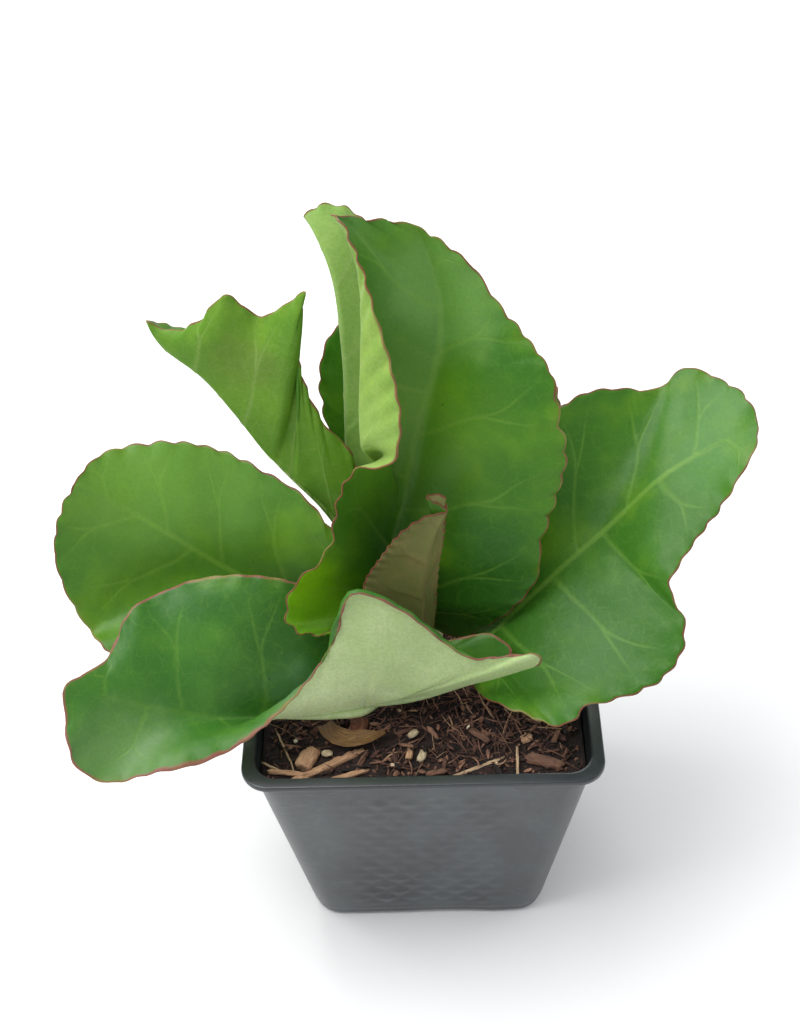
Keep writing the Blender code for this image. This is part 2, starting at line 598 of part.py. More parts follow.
def build_loose(name, spot, degrees, size, material, soil):
    """A splinter or chip: a long prism with tapered, uneven ends, lying in its seat."""
    length, width, thick = (value * MM for value in size)
    x, y = (value * MM for value in spot)
    bottom = SOIL_TOP - LOOSE_SINK
    bm = bmesh.new()
    loops = []
    for along, wide, tall in LOOSE_SECTIONS:
        loop = [(along * length, a * width * wide, b * thick * tall) for a, b in LOOSE_CORNERS]
        loops.append([bm.verts.new(corner) for corner in loop])
    for lower, upper in zip(loops, loops[1:]):
        for i in range(len(lower)):
            j = (i + 1) % len(lower)
            bm.faces.new((lower[i], lower[j], upper[j]))
            bm.faces.new((lower[i], upper[j], upper[i]))
    bm.faces.new(loops[0])
    bm.faces.new(loops[-1])
    turn = math.radians(degrees)
    made = piece(name, bm, PLANT, material)
    made.location = (x, y, bottom)
    made.rotation_euler = (0.0, 0.0, turn)
    spare = 2 * GAP
    boolean(soil, "DIFFERENCE", seat_cutter(name, x, y, turn, length + spare, width + spare, bottom - GAP))
    return made


def build_dead_sheath(material):
    """The curled base of an old leaf: a cupped strip along a bent path."""
    path = smooth_path(DEAD_SHEATH_PATH, DEAD_SHEATH_ROWS) * MM
    last = len(DEAD_SHEATH_WIDTH) - 1
    widths = np.interp(np.linspace(0, last, len(path)), range(last + 1), DEAD_SHEATH_WIDTH)
    bm = bmesh.new()
    rows = []
    for index, place in enumerate(path):
        ahead = path[min(index + 1, len(path) - 1)] - path[max(index - 1, 0)]
        across = Vector((-ahead[1], ahead[0], 0.0)).normalized()
        row = []
        for step in DEAD_SHEATH_SPAN:
            cup = Vector((0.0, 0.0, DEAD_SHEATH_CUP * (step * step - 0.5)))
            row.append(bm.verts.new(Vector(place) + across * widths[index] * step + cup))
        rows.append(row)
    for near, far in zip(rows, rows[1:]):
        for i in range(len(near) - 1):
            bm.faces.new((near[i], near[i + 1], far[i + 1], far[i]))
    bmesh.ops.triangulate(bm, faces=bm.faces, quad_method="FIXED")
    made = piece("dead_sheath", bm, PLANT, material)
    shell = made.modifiers.new("Thickness", "SOLIDIFY")
    shell.thickness = DEAD_SHEATH_THICK
    shell.offset = 0.0
    return made


for old in list(bpy.data.objects):
    bpy.data.objects.remove(old)
PLANT = collection("potted_bergenia")
CUTTERS = collection("cutters", hidden=True)

black_plastic = finish("black_plastic", (0.018, 0.022, 0.025), 0.42)
potting_mix = finish("potting_mix", (0.055, 0.030, 0.020), 0.95)
rhizome_skin = finish("rhizome_skin", (0.110, 0.070, 0.035), 0.85)
leaf_green = finish("leaf_green", (0.045, 0.180, 0.030), 0.38)
leaf_light = finish("leaf_light", (0.150, 0.300, 0.070), 0.42)
young_brown = finish("young_brown", (0.150, 0.100, 0.045), 0.5)
dead_amber = finish("dead_amber", (0.330, 0.170, 0.050), 0.6)
split_wood = finish("split_wood", (0.380, 0.220, 0.100), 0.85)
bark = finish("bark", (0.220, 0.085, 0.035), 0.9)

LEAF_FINISH = {"leaf_pale": leaf_light, "leaf_upper_left": leaf_light, "leaf_young": young_brown}
LOOSE_FINISH = {"bark_chip": bark, "brown_chip": bark}

build_pot(black_plastic)
mix = build_soil(potting_mix)
crown = turned("crown", crown_profile(0.0), PLANT, rhizome_skin)
crown_room = turned("crown_room", crown_profile(GAP), CUTTERS)
crown_room.hide_render = True
crown_room.display_type = "WIRE"
boolean(mix, "DIFFERENCE", crown_room)
for leaf_name, leaf_shape in LEAVES.items():
    build_leaf(leaf_name, leaf_shape, LEAF_FINISH.get(leaf_name, leaf_green), crown_room)
for loose_name, (loose_spot, loose_turn, loose_size) in LOOSE.items():
    build_loose(loose_name, loose_spot, loose_turn, loose_size, LOOSE_FINISH.get(loose_name, split_wood), mix)
build_dead_sheath(dead_amber)
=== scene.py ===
"""The looks of a potted bergenia: eight leathery leaves on a short crown, in a square pot of bark mix.

Metres, +Z up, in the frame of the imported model. Leaf outlines are in millimetres.
"""

import json
import logging
import math
import random
from dataclasses import dataclass
from enum import Enum

import bmesh
import bpy
import numpy as np
from mathutils import Matrix, Vector, noise

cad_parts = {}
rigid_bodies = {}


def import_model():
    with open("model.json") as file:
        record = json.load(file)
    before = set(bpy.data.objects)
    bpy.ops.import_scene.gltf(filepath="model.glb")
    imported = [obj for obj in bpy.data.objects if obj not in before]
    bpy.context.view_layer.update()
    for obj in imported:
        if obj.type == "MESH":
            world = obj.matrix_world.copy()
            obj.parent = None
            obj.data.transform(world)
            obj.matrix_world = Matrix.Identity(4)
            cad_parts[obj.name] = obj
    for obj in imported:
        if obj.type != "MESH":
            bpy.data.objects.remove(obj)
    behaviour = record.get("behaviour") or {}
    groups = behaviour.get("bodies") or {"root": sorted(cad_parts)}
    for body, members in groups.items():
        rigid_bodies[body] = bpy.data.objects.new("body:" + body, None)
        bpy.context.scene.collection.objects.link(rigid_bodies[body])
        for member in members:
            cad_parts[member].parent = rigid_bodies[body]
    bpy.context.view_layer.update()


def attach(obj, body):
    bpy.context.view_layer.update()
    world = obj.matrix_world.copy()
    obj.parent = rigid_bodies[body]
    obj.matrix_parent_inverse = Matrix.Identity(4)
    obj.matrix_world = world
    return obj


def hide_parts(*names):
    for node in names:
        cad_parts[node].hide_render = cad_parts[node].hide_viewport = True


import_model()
BODY = "root"
log = logging.getLogger("potted_bergenia")

MM = 0.001
PER_MM = 1000.0
WELD = 0.002 * MM
PATH_STEPS = 1200

# Pot, as in the solids
RIM_HALF = 53.0 * MM
POT_HEIGHT = 90.0 * MM
LIP_HEIGHT = 1.9 * MM
NECK_HALF = 50.4 * MM
FOOT_HALF = 37.7 * MM
RIM_CORNER = 8.4 * MM
FOOT_CORNER = 9.0 * MM
WALL = 1.3 * MM
FLOOR = 1.6 * MM
SOIL_TOP = 84.0 * MM
CROWN_AT = Vector((-1.0, -7.0, 0.0)) * MM

Point = tuple[float, ...]
Colour = tuple[float, float, float]


class Value:
    """A node's output that Python's operators work on."""

    def __init__(self, graph: "Graph", socket: bpy.types.NodeSocket) -> None:
        """Keep the socket and the graph that new nodes go into."""
        self.graph = graph
        self.socket = socket

    def _maths(self, operation: str, first: object, second: object = 0.0) -> "Value":
        """Add one Math node."""
        return self.graph.node("ShaderNodeMath", {"operation": operation}, {0: first, 1: second})

    def __add__(self, other: object) -> "Value":
        """Sum."""
        return self._maths("ADD", self, other)

    def __radd__(self, other: object) -> "Value":
        """Sum with a number on the left."""
        return self._maths("ADD", other, self)

    def __sub__(self, other: object) -> "Value":
        """Difference."""
        return self._maths("SUBTRACT", self, other)

    def __rsub__(self, other: object) -> "Value":
        """Difference with a number on the left."""
        return self._maths("SUBTRACT", other, self)

    def __mul__(self, other: object) -> "Value":
        """Product."""
        return self._maths("MULTIPLY", self, other)

    def __abs__(self) -> "Value":
        """Size without the sign."""
        return self._maths("ABSOLUTE", self)

    def fraction(self) -> "Value":
        """The part after the decimal point."""
        return self._maths("FRACT", self)

    def rise(self, low: object, high: object) -> "Value":
        """A smooth step.

        Args:
            low: where the step starts, as a number or a value.
            high: where it ends.

        Returns:
            0 below low, 1 above high.
        """
        settings = {"interpolation_type": "SMOOTHSTEP"}
        values = {"Value": self, "From Min": low, "From Max": high}
        return self.graph.node("ShaderNodeMapRange", settings, values)

    def fall(self, low: object, high: object) -> "Value":
        """The smooth step turned over: 1 below low, 0 above high."""
        return 1.0 - self.rise(low, high)


class Graph:
    """A node tree that is written as expressions."""

    def __init__(self, tree: bpy.types.NodeTree) -> None:
        """Start on an empty tree."""
        self.tree = tree
        tree.nodes.clear()

    def add(self, kind: str, settings: dict | None = None, values: dict | None = None) -> bpy.types.Node:
        """Add any node.

        Args:
            kind: the node's type.
            settings: its own settings, set first. The name stops sets a colour ramp's stops.
            values: what goes into its sockets, by name or number: a Value is linked, anything else is set.

        Returns:
            The node.
        """
        made = self.tree.nodes.new(kind)
        for name, setting in (settings or {}).items():
            if name == "stops":
                self._ramp(made, setting)
            else:
                setattr(made, name, setting)
        for name, value in (values or {}).items():
            socket = made.inputs[name]
            if isinstance(value, Value):
                self.tree.links.new(value.socket, socket)
            elif socket.type == "RGBA":
                socket.default_value = (*value[:3], 1.0)
            else:
                socket.default_value = value
        return made

    @staticmethod
    def _ramp(made: bpy.types.Node, stops: list[tuple[float, Colour]]) -> None:
        """Give a colour ramp its stops."""
        elements = made.color_ramp.elements
        while len(elements) < len(stops):
            elements.new(0.5)
        for element, (place, colour) in zip(elements, stops):
            element.position = place
            element.color = (*colour, 1.0)

    def node(self, kind: str, settings: dict | None = None, values: dict | None = None,
             out: object = 0) -> Value:
        """Add a node and take one of its outputs."""
        return Value(self, self.add(kind, settings, values).outputs[out])

    def attribute(self, name: str) -> Value:
        """A number that the mesh carries."""
        return self.node("ShaderNodeAttribute", {"attribute_name": name}, out="Fac")

    def mix(self, share: object, first: object, second: object) -> Value:
        """A blend of two colours."""
        return self.node("ShaderNodeMix", {"data_type": "RGBA"}, {0: share, 6: first, 7: second}, out=2)

    def ramp(self, value: Value, stops: list[tuple[float, Colour]]) -> Value:
        """A colour for a number."""
        return self.node("ShaderNodeValToRGB", {"stops": stops}, {"Fac": value})


class Skin(Graph):
    """A material's graph, with its shader and the coordinates in millimetres."""

    def __init__(self, name: str) -> None:
        """Make the material."""
        self.material = bpy.data.materials.new(name)
        self.material.use_nodes = True
        super().__init__(self.material.node_tree)
        self.shader = self.add("ShaderNodeBsdfPrincipled")
        surface = Value(self, self.shader.outputs["BSDF"])
        self.add("ShaderNodeOutputMaterial", None, {"Surface": surface})
        place = self.node("ShaderNodeTexCoord", out="Object")
        self.place = self.stretched(place, (PER_MM, PER_MM, PER_MM))

    def stretched(self, vector: Value, scale: Point, turn: Point = (0.0, 0.0, 0.0)) -> Value:
        """Coordinates scaled on each axis, after a turn."""
        given = {"Vector": vector, "Rotation": turn}
        turned = self.node("ShaderNodeMapping", {"vector_type": "POINT"}, given)
        return self.node("ShaderNodeVectorMath", {"operation": "MULTIPLY"}, {0: turned, 1: scale})

    def cloud(self, grain: float, detail: float = 3.0, rough: float = 0.55,
              place: Value | None = None) -> Value:
        """Noise of a size in millimetres, about 0.5 in the middle."""
        values = {"Vector": place or self.place, "Scale": 1.0 / grain, "Detail": detail, "Roughness": rough}
        return self.node("ShaderNodeTexNoise", None, values)

    def cells(self, grain: float, place: Value | None = None) -> Value:
        """Distance from the walls of cells of a size in millimetres."""
        settings = {"feature": "DISTANCE_TO_EDGE"}
        values = {"Vector": place or self.place, "Scale": 1.0 / grain}
        return self.node("ShaderNodeTexVoronoi", settings, values, out="Distance")

    def specks(self, grain: float, share: float) -> Value:
        """Small round dots, one in some cells.

        Args:
            grain: the cells' size in millimetres.
            share: the dots' radius as a share of that.

        Returns:
            1 in a dot, 0 outside.
        """
        cell = self.add("ShaderNodeTexVoronoi", None, {"Vector": self.place, "Scale": 1.0 / grain})
        return Value(self, cell.outputs["Distance"]).fall(share * 0.6, share)

    def set(self, **sockets: object) -> None:
        """Fill the shader's sockets, with underscores for the spaces in their names."""
        for name, value in sockets.items():
            socket = self.shader.inputs[name.replace("_", " ")]
            if isinstance(value, Value):
                self.tree.links.new(value.socket, socket)
            else:
                socket.default_value = value

    def bump(self, height: Value, depth: float) -> Value:
        """A normal for a height from 0 to 1, as deep as a number of millimetres."""
        return self.node("ShaderNodeBump", None, {"Height": height, "Distance": depth * MM, "Strength": 1.0})


class Face(Enum):
    """The faces of a leaf that a patch of colour or of painted light shows on."""

    BOTH = 0
    UPPER = 1
    LOWER = 2


@dataclass(frozen=True)
class TintOrPaintedLight:
    """A patch on a leaf, of its own colour or of painted shade, sheen or light through the blade: its middle and
    radius in millimetres, and how much of it shows.
    """

    middle: Point
    radius: float
    colour: Colour
    share: float
    face: Face = Face.BOTH


@dataclass(frozen=True)
class LeafSkin:
    """A leaf's upper and lower faces, its veins, patches of its own colour and of painted light and shade, and
    coloured margin. Widths are in millimetres.
    """

    name: str
    upper: Colour = (0.078, 0.212, 0.012)
    upper_deep: Colour = (0.032, 0.132, 0.008)
    upper_warm: Colour = (0.115, 0.262, 0.010)
    vein: Colour = (0.170, 0.320, 0.040)
    under: Colour = (0.230, 0.360, 0.085)
    under_deep: Colour = (0.150, 0.270, 0.055)
    under_vein: Colour = (0.360, 0.460, 0.190)
    margin: Colour = (0.170, 0.048, 0.030)
    margin_pale: Colour = (0.220, 0.240, 0.060)
    margin_width: float = 0.32
    vein_share: float = 0.26
    middle_share: float = 0.40
    upper_rough: float = 0.38
    under_rough: float = 0.55
    shine: float = 0.22
    see_through: float = 0.30
    glow_depth: float = 0.9
    relief: float = 0.12
    wide_grain: float = 30.0
    patch_grain: float = 15.0
    mottle_grain: float = 4.5
    fine_grain: float = 0.9
    dot: Colour = (0.030, 0.030, 0.015)
    tints_and_painted_light: tuple[TintOrPaintedLight, ...] = ()

    def build(self) -> bpy.types.Material:
        """Make the material."""
        skin = Skin(self.name)
        side = skin.attribute("up").rise(0.4, 0.6)
        wide = skin.cloud(self.wide_grain, 1.0)
        warm = skin.cloud(self.patch_grain, 2.0)
        mottle = skin.cloud(self.mottle_grain, 2.0, 0.6)
        fine = skin.cloud(self.fine_grain, 1.0, 0.65)
        veins = self._veins(skin)
        colour = self._faces(skin, side, wide, warm, mottle)
        # lays on the patches: the leaf's own colours, and painted shade, painted sheen and painted light
        colour = self._tinted_and_lit(skin, colour, side, warm)
        colour = self._veined(skin, colour, side, veins)
        colour = skin.mix(fine.rise(0.35, 0.68) * 0.14, colour, self.upper_deep)
        colour = skin.mix(skin.specks(11.0, 0.035) * wide.rise(0.4, 0.6) * 0.7, colour, self.dot)
        colour = self._edged(skin, colour, warm, mottle)
        rough = self.under_rough + side * (self.upper_rough - self.under_rough)
        rough = rough + (mottle - 0.5) * 0.16
        pebble = skin.cloud(1.7, 1.0, 0.5)
        height = 0.5 - veins["lateral"] * 0.40 + pebble * 0.6 + fine * 0.2
        skin.set(Base_Color=colour, Roughness=rough, Normal=skin.bump(height, self.relief),
                 Subsurface_Weight=self.see_through, Subsurface_Radius=(0.6, 1.0, 0.08),
                 Subsurface_Scale=self.glow_depth * MM, Specular_IOR_Level=self.shine)
        return skin.material

    def _faces(self, skin: Skin, side: Value, wide: Value, warm: Value, mottle: Value) -> Value:
        """The plain colours of the upper and lower faces, with their wide patches and mottling."""
        top = skin.mix(wide.rise(0.30, 0.70), self.upper_deep, self.upper)
        top = skin.mix(warm.rise(0.46, 0.74) * 0.6, top, self.upper_warm)
        top = skin.mix(mottle.rise(0.40, 0.70) * 0.22, top, self.upper_deep)
        low = skin.mix(warm.rise(0.35, 0.7), self.under_deep, self.under)
        low = skin.mix(mottle.rise(0.40, 0.70) * 0.30, low, self.under_deep)
        return skin.mix(side, low, top)

    def _tinted_and_lit(self, skin: Skin, colour: Value, side: Value, warm: Value) -> Value:
        """The colour with the leaf's patches laid over it, each with an uneven border: its own colours, and
        painted shade, painted sheen and painted light through the blade.
        """
        shown = {Face.BOTH: 1.0, Face.UPPER: side, Face.LOWER: 1.0 - side}
        for overlay in self.tints_and_painted_light:
            away = skin.node("ShaderNodeVectorMath", {"operation": "DISTANCE"},
                             {0: skin.place, 1: overlay.middle}, out="Value")
            near = (away + (warm - 0.5) * overlay.radius).fall(overlay.radius * 0.25, overlay.radius)
            colour = skin.mix(near * overlay.share * shown[overlay.face], colour, overlay.colour)
        return colour

    def _veined(self, skin: Skin, colour: Value, side: Value, veins: dict[str, Value]) -> Value:
        """The colour with the veins drawn on it, the midrib strongest."""
        vein_colour = skin.mix(side, self.under_vein, self.vein)
        seen = veins["lateral"] * self.vein_share + veins["net"] * 0.10 + veins["fine"] * 0.06
        colour = skin.mix(seen, colour, vein_colour)
        return skin.mix(veins["middle"] * self.middle_share, colour, vein_colour)

    def _edged(self, skin: Skin, colour: Value, warm: Value, mottle: Value) -> Value:
        """The colour with the red line along the margin, paler here and there."""
        rim = skin.attribute("rim")
        edge = rim + (mottle - 0.5) * 2.2 * self.margin_width
        line = edge.fall(self.margin_width * 0.5, self.margin_width * 1.5)
        flush = rim.fall(0.3, 3.5) * warm.rise(0.5, 0.8) * 0.15
        colour = skin.mix(flush, colour, self.margin)
        line_colour = skin.mix(warm.rise(0.46, 0.66) * 0.55, self.margin, self.margin_pale)
        return skin.mix(line * 0.92, colour, line_colour)

    def _veins(self, skin: Skin) -> dict[str, Value]:
        """Masks from 0 to 1: the midrib, forked side veins, the net between them, and the finest net."""
        reach = skin.attribute("reach")
        sway = (skin.cloud(26.0, 1.0) - 0.5) * 0.34
        from_line = abs((skin.attribute("vein") + sway).fraction() - 0.5)
        fork = reach.rise(0.45, 1.05) * 0.26
        across = abs(from_line - fork) * skin.attribute("pitch")
        middle = skin.attribute("mid").fall(0.3, 1.5) * skin.attribute("along").fall(0.72, 1.0)
        bent = self._bent(skin)
        return {
            "lateral": across.fall(0.0, 1.5 - reach) * reach.fall(0.65, 0.97),
            "middle": middle,
            "net": skin.cells(5.2, bent).fall(0.0, 0.06),
            "fine": skin.cells(1.5, bent).fall(0.0, 0.12),
        }

    @staticmethod
    def _bent(skin: Skin) -> Value:
        """The coordinates, moved about by coloured noise, so that the net isn't straight."""
        shift = skin.node("ShaderNodeTexNoise", None, {"Vector": skin.place, "Scale": 0.22, "Detail": 1.0},
                          out="Color")
        grown = skin.node("ShaderNodeVectorMath", {"operation": "MULTIPLY"}, {0: shift, 1: (7.0, 7.0, 7.0)})
        moved = skin.node("ShaderNodeVectorMath", {"operation": "ADD"}, {0: skin.place, 1: grown})
        return skin.node("ShaderNodeMix", {"data_type": "VECTOR"}, {0: 0.9, 4: skin.place, 5: moved}, out=1)


@dataclass(frozen=True)
class StalkSkin:
    """A leaf's stalk and the rib under it: pale, flushed pink towards the crown."""

    name: str
    pale: Colour
    green: Colour
    flush: Colour = (0.230, 0.120, 0.060)

    def build(self) -> bpy.types.Material:
        """Make the material."""
        skin = Skin(self.name)
        streak = skin.cloud(2.2, 3.0, 0.6, skin.stretched(skin.place, (1.6, 1.6, 0.25)))
        colour = skin.mix(streak.rise(0.35, 0.7), self.green, self.pale)
        low = skin.attribute("low")
        colour = skin.mix(low * skin.cloud(6.0).rise(0.3, 0.7) * 0.7, colour, self.flush)
        normal = skin.bump(streak, 0.12)
        skin.set(Base_Color=colour, Roughness=0.42 + streak * 0.12, Normal=normal, Subsurface_Weight=0.25,
                 Subsurface_Radius=(0.6, 1.0, 0.2), Subsurface_Scale=0.0012)
        return skin.material


@dataclass(frozen=True)
class PotPlastic:
    """Thin moulded black plastic, with some dust, marks where the plastic flowed and fine scratches, and painted
    reflection: paler in soft patches and towards the foot, with the lip left dark as painted shade.
    """

    name: str = "pot_plastic"
    dark: Colour = (0.010, 0.014, 0.016)
    # the pale grey of dust and of painted reflection of the bright surround
    dust_and_reflection_grey: Colour = (0.072, 0.086, 0.088)

    def build(self) -> bpy.types.Material:
        """Make the material."""
        skin = Skin(self.name)
        # marks where the plastic flowed; in the colour they also stand as painted reflections on the dents
        flow_and_dent_sheen = skin.cloud(22.0, 2.0, 0.6, skin.stretched(skin.place, (1.0, 1.0, 0.45)))
        dust = skin.cloud(3.0, 2.0, 0.65)
        marks = skin.cloud(1.0, 2.0, 0.5, skin.stretched(skin.place, (0.05, 0.05, 1.5), (0.35, 0.2, 0.0)))
        scratch = marks.rise(0.66, 0.72)
        grain = skin.cloud(0.35, 0.0)
        height = skin.node("ShaderNodeSeparateXYZ", None, {"Vector": skin.place}, out="Z")
        # painted shade: the lip gets little of the grey and stays dark
        wall = height.fall(84.0, 88.0)
        # painted reflection: paler towards the foot, where the wall faces the pale floor
        foot = height.fall(2.0, 18.0)
        # how much grey each place gets: dust and scratches, and painted reflection
        shade = flow_and_dent_sheen.rise(0.35, 0.7) * 0.45 + dust.rise(0.45, 0.75) * 0.25 + foot * 0.35 + scratch * 0.2
        colour = skin.mix(shade * (wall * 0.85 + 0.15), self.dark, self.dust_and_reflection_grey)
        dots = skin.specks(9.0, 0.03)
        colour = skin.mix(dots * 0.4, colour, (0.30, 0.27, 0.22))
        rough = 0.16 + flow_and_dent_sheen * 0.30 + dust * 0.08 - scratch * 0.06
        normal = skin.bump(grain * 0.5 + flow_and_dent_sheen * 0.5, 0.05)
        skin.set(Base_Color=colour, Roughness=rough, Normal=normal, Specular_IOR_Level=0.7)
        return skin.material


@dataclass(frozen=True)
class GrainSkin:
    """Bits of bark, wood or mix, each with its own tone from dark to light, and grain along them."""

    name: str
    stops: tuple[tuple[float, Colour], ...]
    grain: float = 0.8
    along: Point = (1.0, 1.0, 1.0)
    rough: float = 0.88
    depth: float = 0.25
    contrast: float = 0.45

    def build(self) -> bpy.types.Material:
        """Make the material."""
        skin = Skin(self.name)
        place = skin.stretched(skin.place, self.along)
        fibre = skin.cloud(self.grain, 2.0, 0.65, place)
        patch = skin.cloud(self.grain * 5.0, 1.0)
        tone = skin.attribute("tone") + (fibre - 0.5) * self.contrast + (patch - 0.5) * self.contrast
        colour = skin.ramp(tone, list(self.stops))
        normal = skin.bump(fibre, self.depth)
        skin.set(Base_Color=colour, Roughness=self.rough - fibre * 0.12, Normal=normal)
        return skin.material


@dataclass(frozen=True)
class StripedSkin:
    """A wood piece whose grain runs along it, from the mesh's own lengthwise coordinates."""

    name: str
    dark: Colour
    light: Colour
    stripes: float = 9.0
    rough: float = 0.82

    def build(self) -> bpy.types.Material:
        """Make the material."""
        skin = Skin(self.name)
        grid = skin.node("ShaderNodeCombineXYZ", None, {
            "X": skin.attribute("lengthwise") * 0.25, "Y": skin.attribute("round") * self.stripes, "Z": 0.0})
        fibre = skin.cloud(1.0, 5.0, 0.65, grid)
        knots = skin.cloud(2.5, 3.0)
        colour = skin.mix(fibre.rise(0.36, 0.66), self.dark, self.light)
        colour = skin.mix(knots.rise(0.55, 0.75) * 0.5, colour, self.dark)
        normal = skin.bump(fibre, 0.3)
        skin.set(Base_Color=colour, Roughness=self.rough - fibre * 0.1, Normal=normal)
        return skin.material


MIX_DARK = (0.009, 0.005, 0.004)
MIX_BROWN = (0.072, 0.030, 0.020)
BARK_RED = (0.150, 0.068, 0.044)
BARK_TAN = (0.290, 0.150, 0.090)
STRAW_TAN = (0.520, 0.330, 0.190)
PERLITE = (0.760, 0.690, 0.500)
PERLITE_LIGHT = (0.850, 0.830, 0.740)
CROWN_BROWN = (0.110, 0.055, 0.030)
CROWN_TAN = (0.260, 0.150, 0.070)


class Finish(Enum):
    """The finishes of everything but the leaves."""

    PLASTIC = PotPlastic()
    # the ground between the bits: near-black, partly the mix's own dark colour and partly painted shade in the
    # gaps
    MIX = GrainSkin("mix_ground", ((0.35, MIX_DARK), (0.85, MIX_BROWN), (1.0, BARK_RED)),
                    grain=0.7, rough=0.97, depth=0.5)
    CRUMB = GrainSkin("mix_crumb", ((0.2, MIX_DARK), (0.6, MIX_BROWN), (0.85, BARK_RED), (1.0, BARK_TAN)),
                      grain=0.5)
    FLAKE = GrainSkin("bark_flake", ((0.15, MIX_DARK), (0.45, MIX_BROWN), (0.72, BARK_RED), (0.95, BARK_TAN)),
                      grain=0.5)
    FIBRE = GrainSkin("bark_fibre", ((0.2, MIX_BROWN), (0.55, BARK_RED), (0.82, BARK_TAN), (1.0, STRAW_TAN)),
                      grain=0.4)
    PERLITE = GrainSkin("perlite", ((0.1, STRAW_TAN), (0.5, PERLITE), (1.0, PERLITE_LIGHT)),
                        grain=0.6, contrast=0.3)
    CROWN = GrainSkin("crown_skin", ((0.1, MIX_DARK), (0.5, CROWN_BROWN), (0.9, CROWN_TAN)),
                      grain=1.2, along=(1.0, 1.0, 2.2), rough=0.8, depth=0.4, contrast=0.7)
    SPLIT_WOOD = StripedSkin("split_wood", (0.270, 0.125, 0.062), (0.660, 0.410, 0.240), 6.0)
    STRAW = StripedSkin("dry_straw", (0.300, 0.180, 0.100), (0.620, 0.450, 0.280), 3.0)
    STRIPED_BARK = StripedSkin("striped_bark", (0.060, 0.020, 0.014), (0.360, 0.130, 0.055), 12.0)
    BROWN_BARK = StripedSkin("brown_bark", (0.080, 0.034, 0.022), (0.260, 0.130, 0.075), 8.0)
    GRIT = StripedSkin("grit", (0.330, 0.230, 0.120), (0.720, 0.620, 0.420), 2.0)
    SHEATH = StripedSkin("dry_sheath", (0.105, 0.048, 0.014), (0.270, 0.140, 0.042), 3.0, 0.6)

    def material(self) -> bpy.types.Material:
        """The finish's material, made the first time it is asked for."""
        return bpy.data.materials.get(self.value.name) or self.value.build()


def smooth_path(points: list[Point], count: int) -> np.ndarray:
    """Even points along a smooth curve through the given ones.

    Args:
        points: three coordinates each, and columns that follow along.
        count: how many points come back.

    Returns:
        An array with a row for each point.
    """
    given = np.array(points, float)
    gaps = np.linalg.norm(np.diff(given[:, :3], axis=0), axis=1) ** 0.5
    knots = np.concatenate([[0.0], np.cumsum(gaps)])
    slopes = np.diff(given, axis=0) / gaps[:, None]
    tangents = np.empty_like(given)
    before, after = gaps[:-1, None], gaps[1:, None]
    tangents[1:-1] = (slopes[:-1] * after + slopes[1:] * before) / (before + after)
    tangents[0] = 2 * slopes[0] - tangents[1] if len(given) > 2 else slopes[0]
    tangents[-1] = 2 * slopes[-1] - tangents[-2] if len(given) > 2 else slopes[0]
    at = np.linspace(0.0, knots[-1], PATH_STEPS)
    span = np.clip(np.searchsorted(knots, at, side="right") - 1, 0, len(given) - 2)
    width = gaps[span][:, None]
    u = (at - knots[span])[:, None] / width
    fine = (
        (2 * u**3 - 3 * u**2 + 1) * given[span]
        + (u**3 - 2 * u**2 + u) * width * tangents[span]
        + (3 * u**2 - 2 * u**3) * given[span + 1]
        + (u**3 - u**2) * width * tangents[span + 1]
    )
    run = arc(fine[:, :3])
    wanted = np.linspace(0.0, run[-1], count)
    return np.stack([np.interp(wanted, run, fine[:, axis]) for axis in range(fine.shape[1])], axis=1)


def arc(points: np.ndarray) -> np.ndarray:
    """Length along a line of points, from 0 at the first."""
    return np.concatenate([[0.0], np.cumsum(np.linalg.norm(np.diff(points, axis=0), axis=1))])


def unit(vectors: np.ndarray) -> np.ndarray:
    """Each vector at length 1, or 0 where it has none."""
    return vectors / np.maximum(np.linalg.norm(vectors, axis=-1, keepdims=True), 1e-12)


def step(values: np.ndarray, low: float, high: float) -> np.ndarray:
    """A smooth step from 0 at low to 1 at high."""
    u = np.clip((values - low) / (high - low), 0.0, 1.0)
    return u * u * (3 - 2 * u)


def rumple(points: np.ndarray, grain: float, octaves: int = 2, seed: float = 0.0) -> np.ndarray:
    """Smooth noise at each point, about -1 to 1.

    Args:
        points: places in metres, in the last axis.
        grain: the bumps' size in metres.
        octaves: how many finer layers are added.
        seed: moves the pattern.

    Returns:
        One number for each point.
    """
    flat = points.reshape(-1, 3) / grain + seed
    values = [noise.fractal(Vector(place), 1.0, 2.0, octaves) for place in flat]
    return np.array(values).reshape(points.shape[:-1])


def carry(mesh: bpy.types.Mesh, marks: dict[str, np.ndarray]) -> None:
    """Give each corner of a mesh its number under each name."""
    for mark, values in marks.items():
        numbers = np.asarray(values, np.float32).ravel()
        mesh.attributes.new(mark, "FLOAT", "POINT").data.foreach_set("value", numbers)


def mesh_object(name: str, points: np.ndarray, faces: list, material: bpy.types.Material,
                marks: dict[str, np.ndarray] | None = None) -> bpy.types.Object:
    """A closed, smooth mesh from arrays.

    Args:
        name: the object's name.
        points: a row for each corner.
        faces: corner numbers of each face, turned outwards.
        material: its finish.
        marks: numbers that each corner carries for the material.

    Returns:
        The object, linked to the scene, with doubled corners merged.
    """
    mesh = bpy.data.meshes.new(name)
    mesh.from_pydata(points.tolist(), [], faces)
    carry(mesh, marks or {})
    bm = bmesh.new()
    bm.from_mesh(mesh)
    bmesh.ops.remove_doubles(bm, verts=bm.verts, dist=WELD)
    bm.to_mesh(mesh)
    bm.free()
    mesh.polygons.foreach_set("use_smooth", [True] * len(mesh.polygons))
    mesh.materials.append(material)
    made = bpy.data.objects.new(name, mesh)
    bpy.context.scene.collection.objects.link(made)
    return made


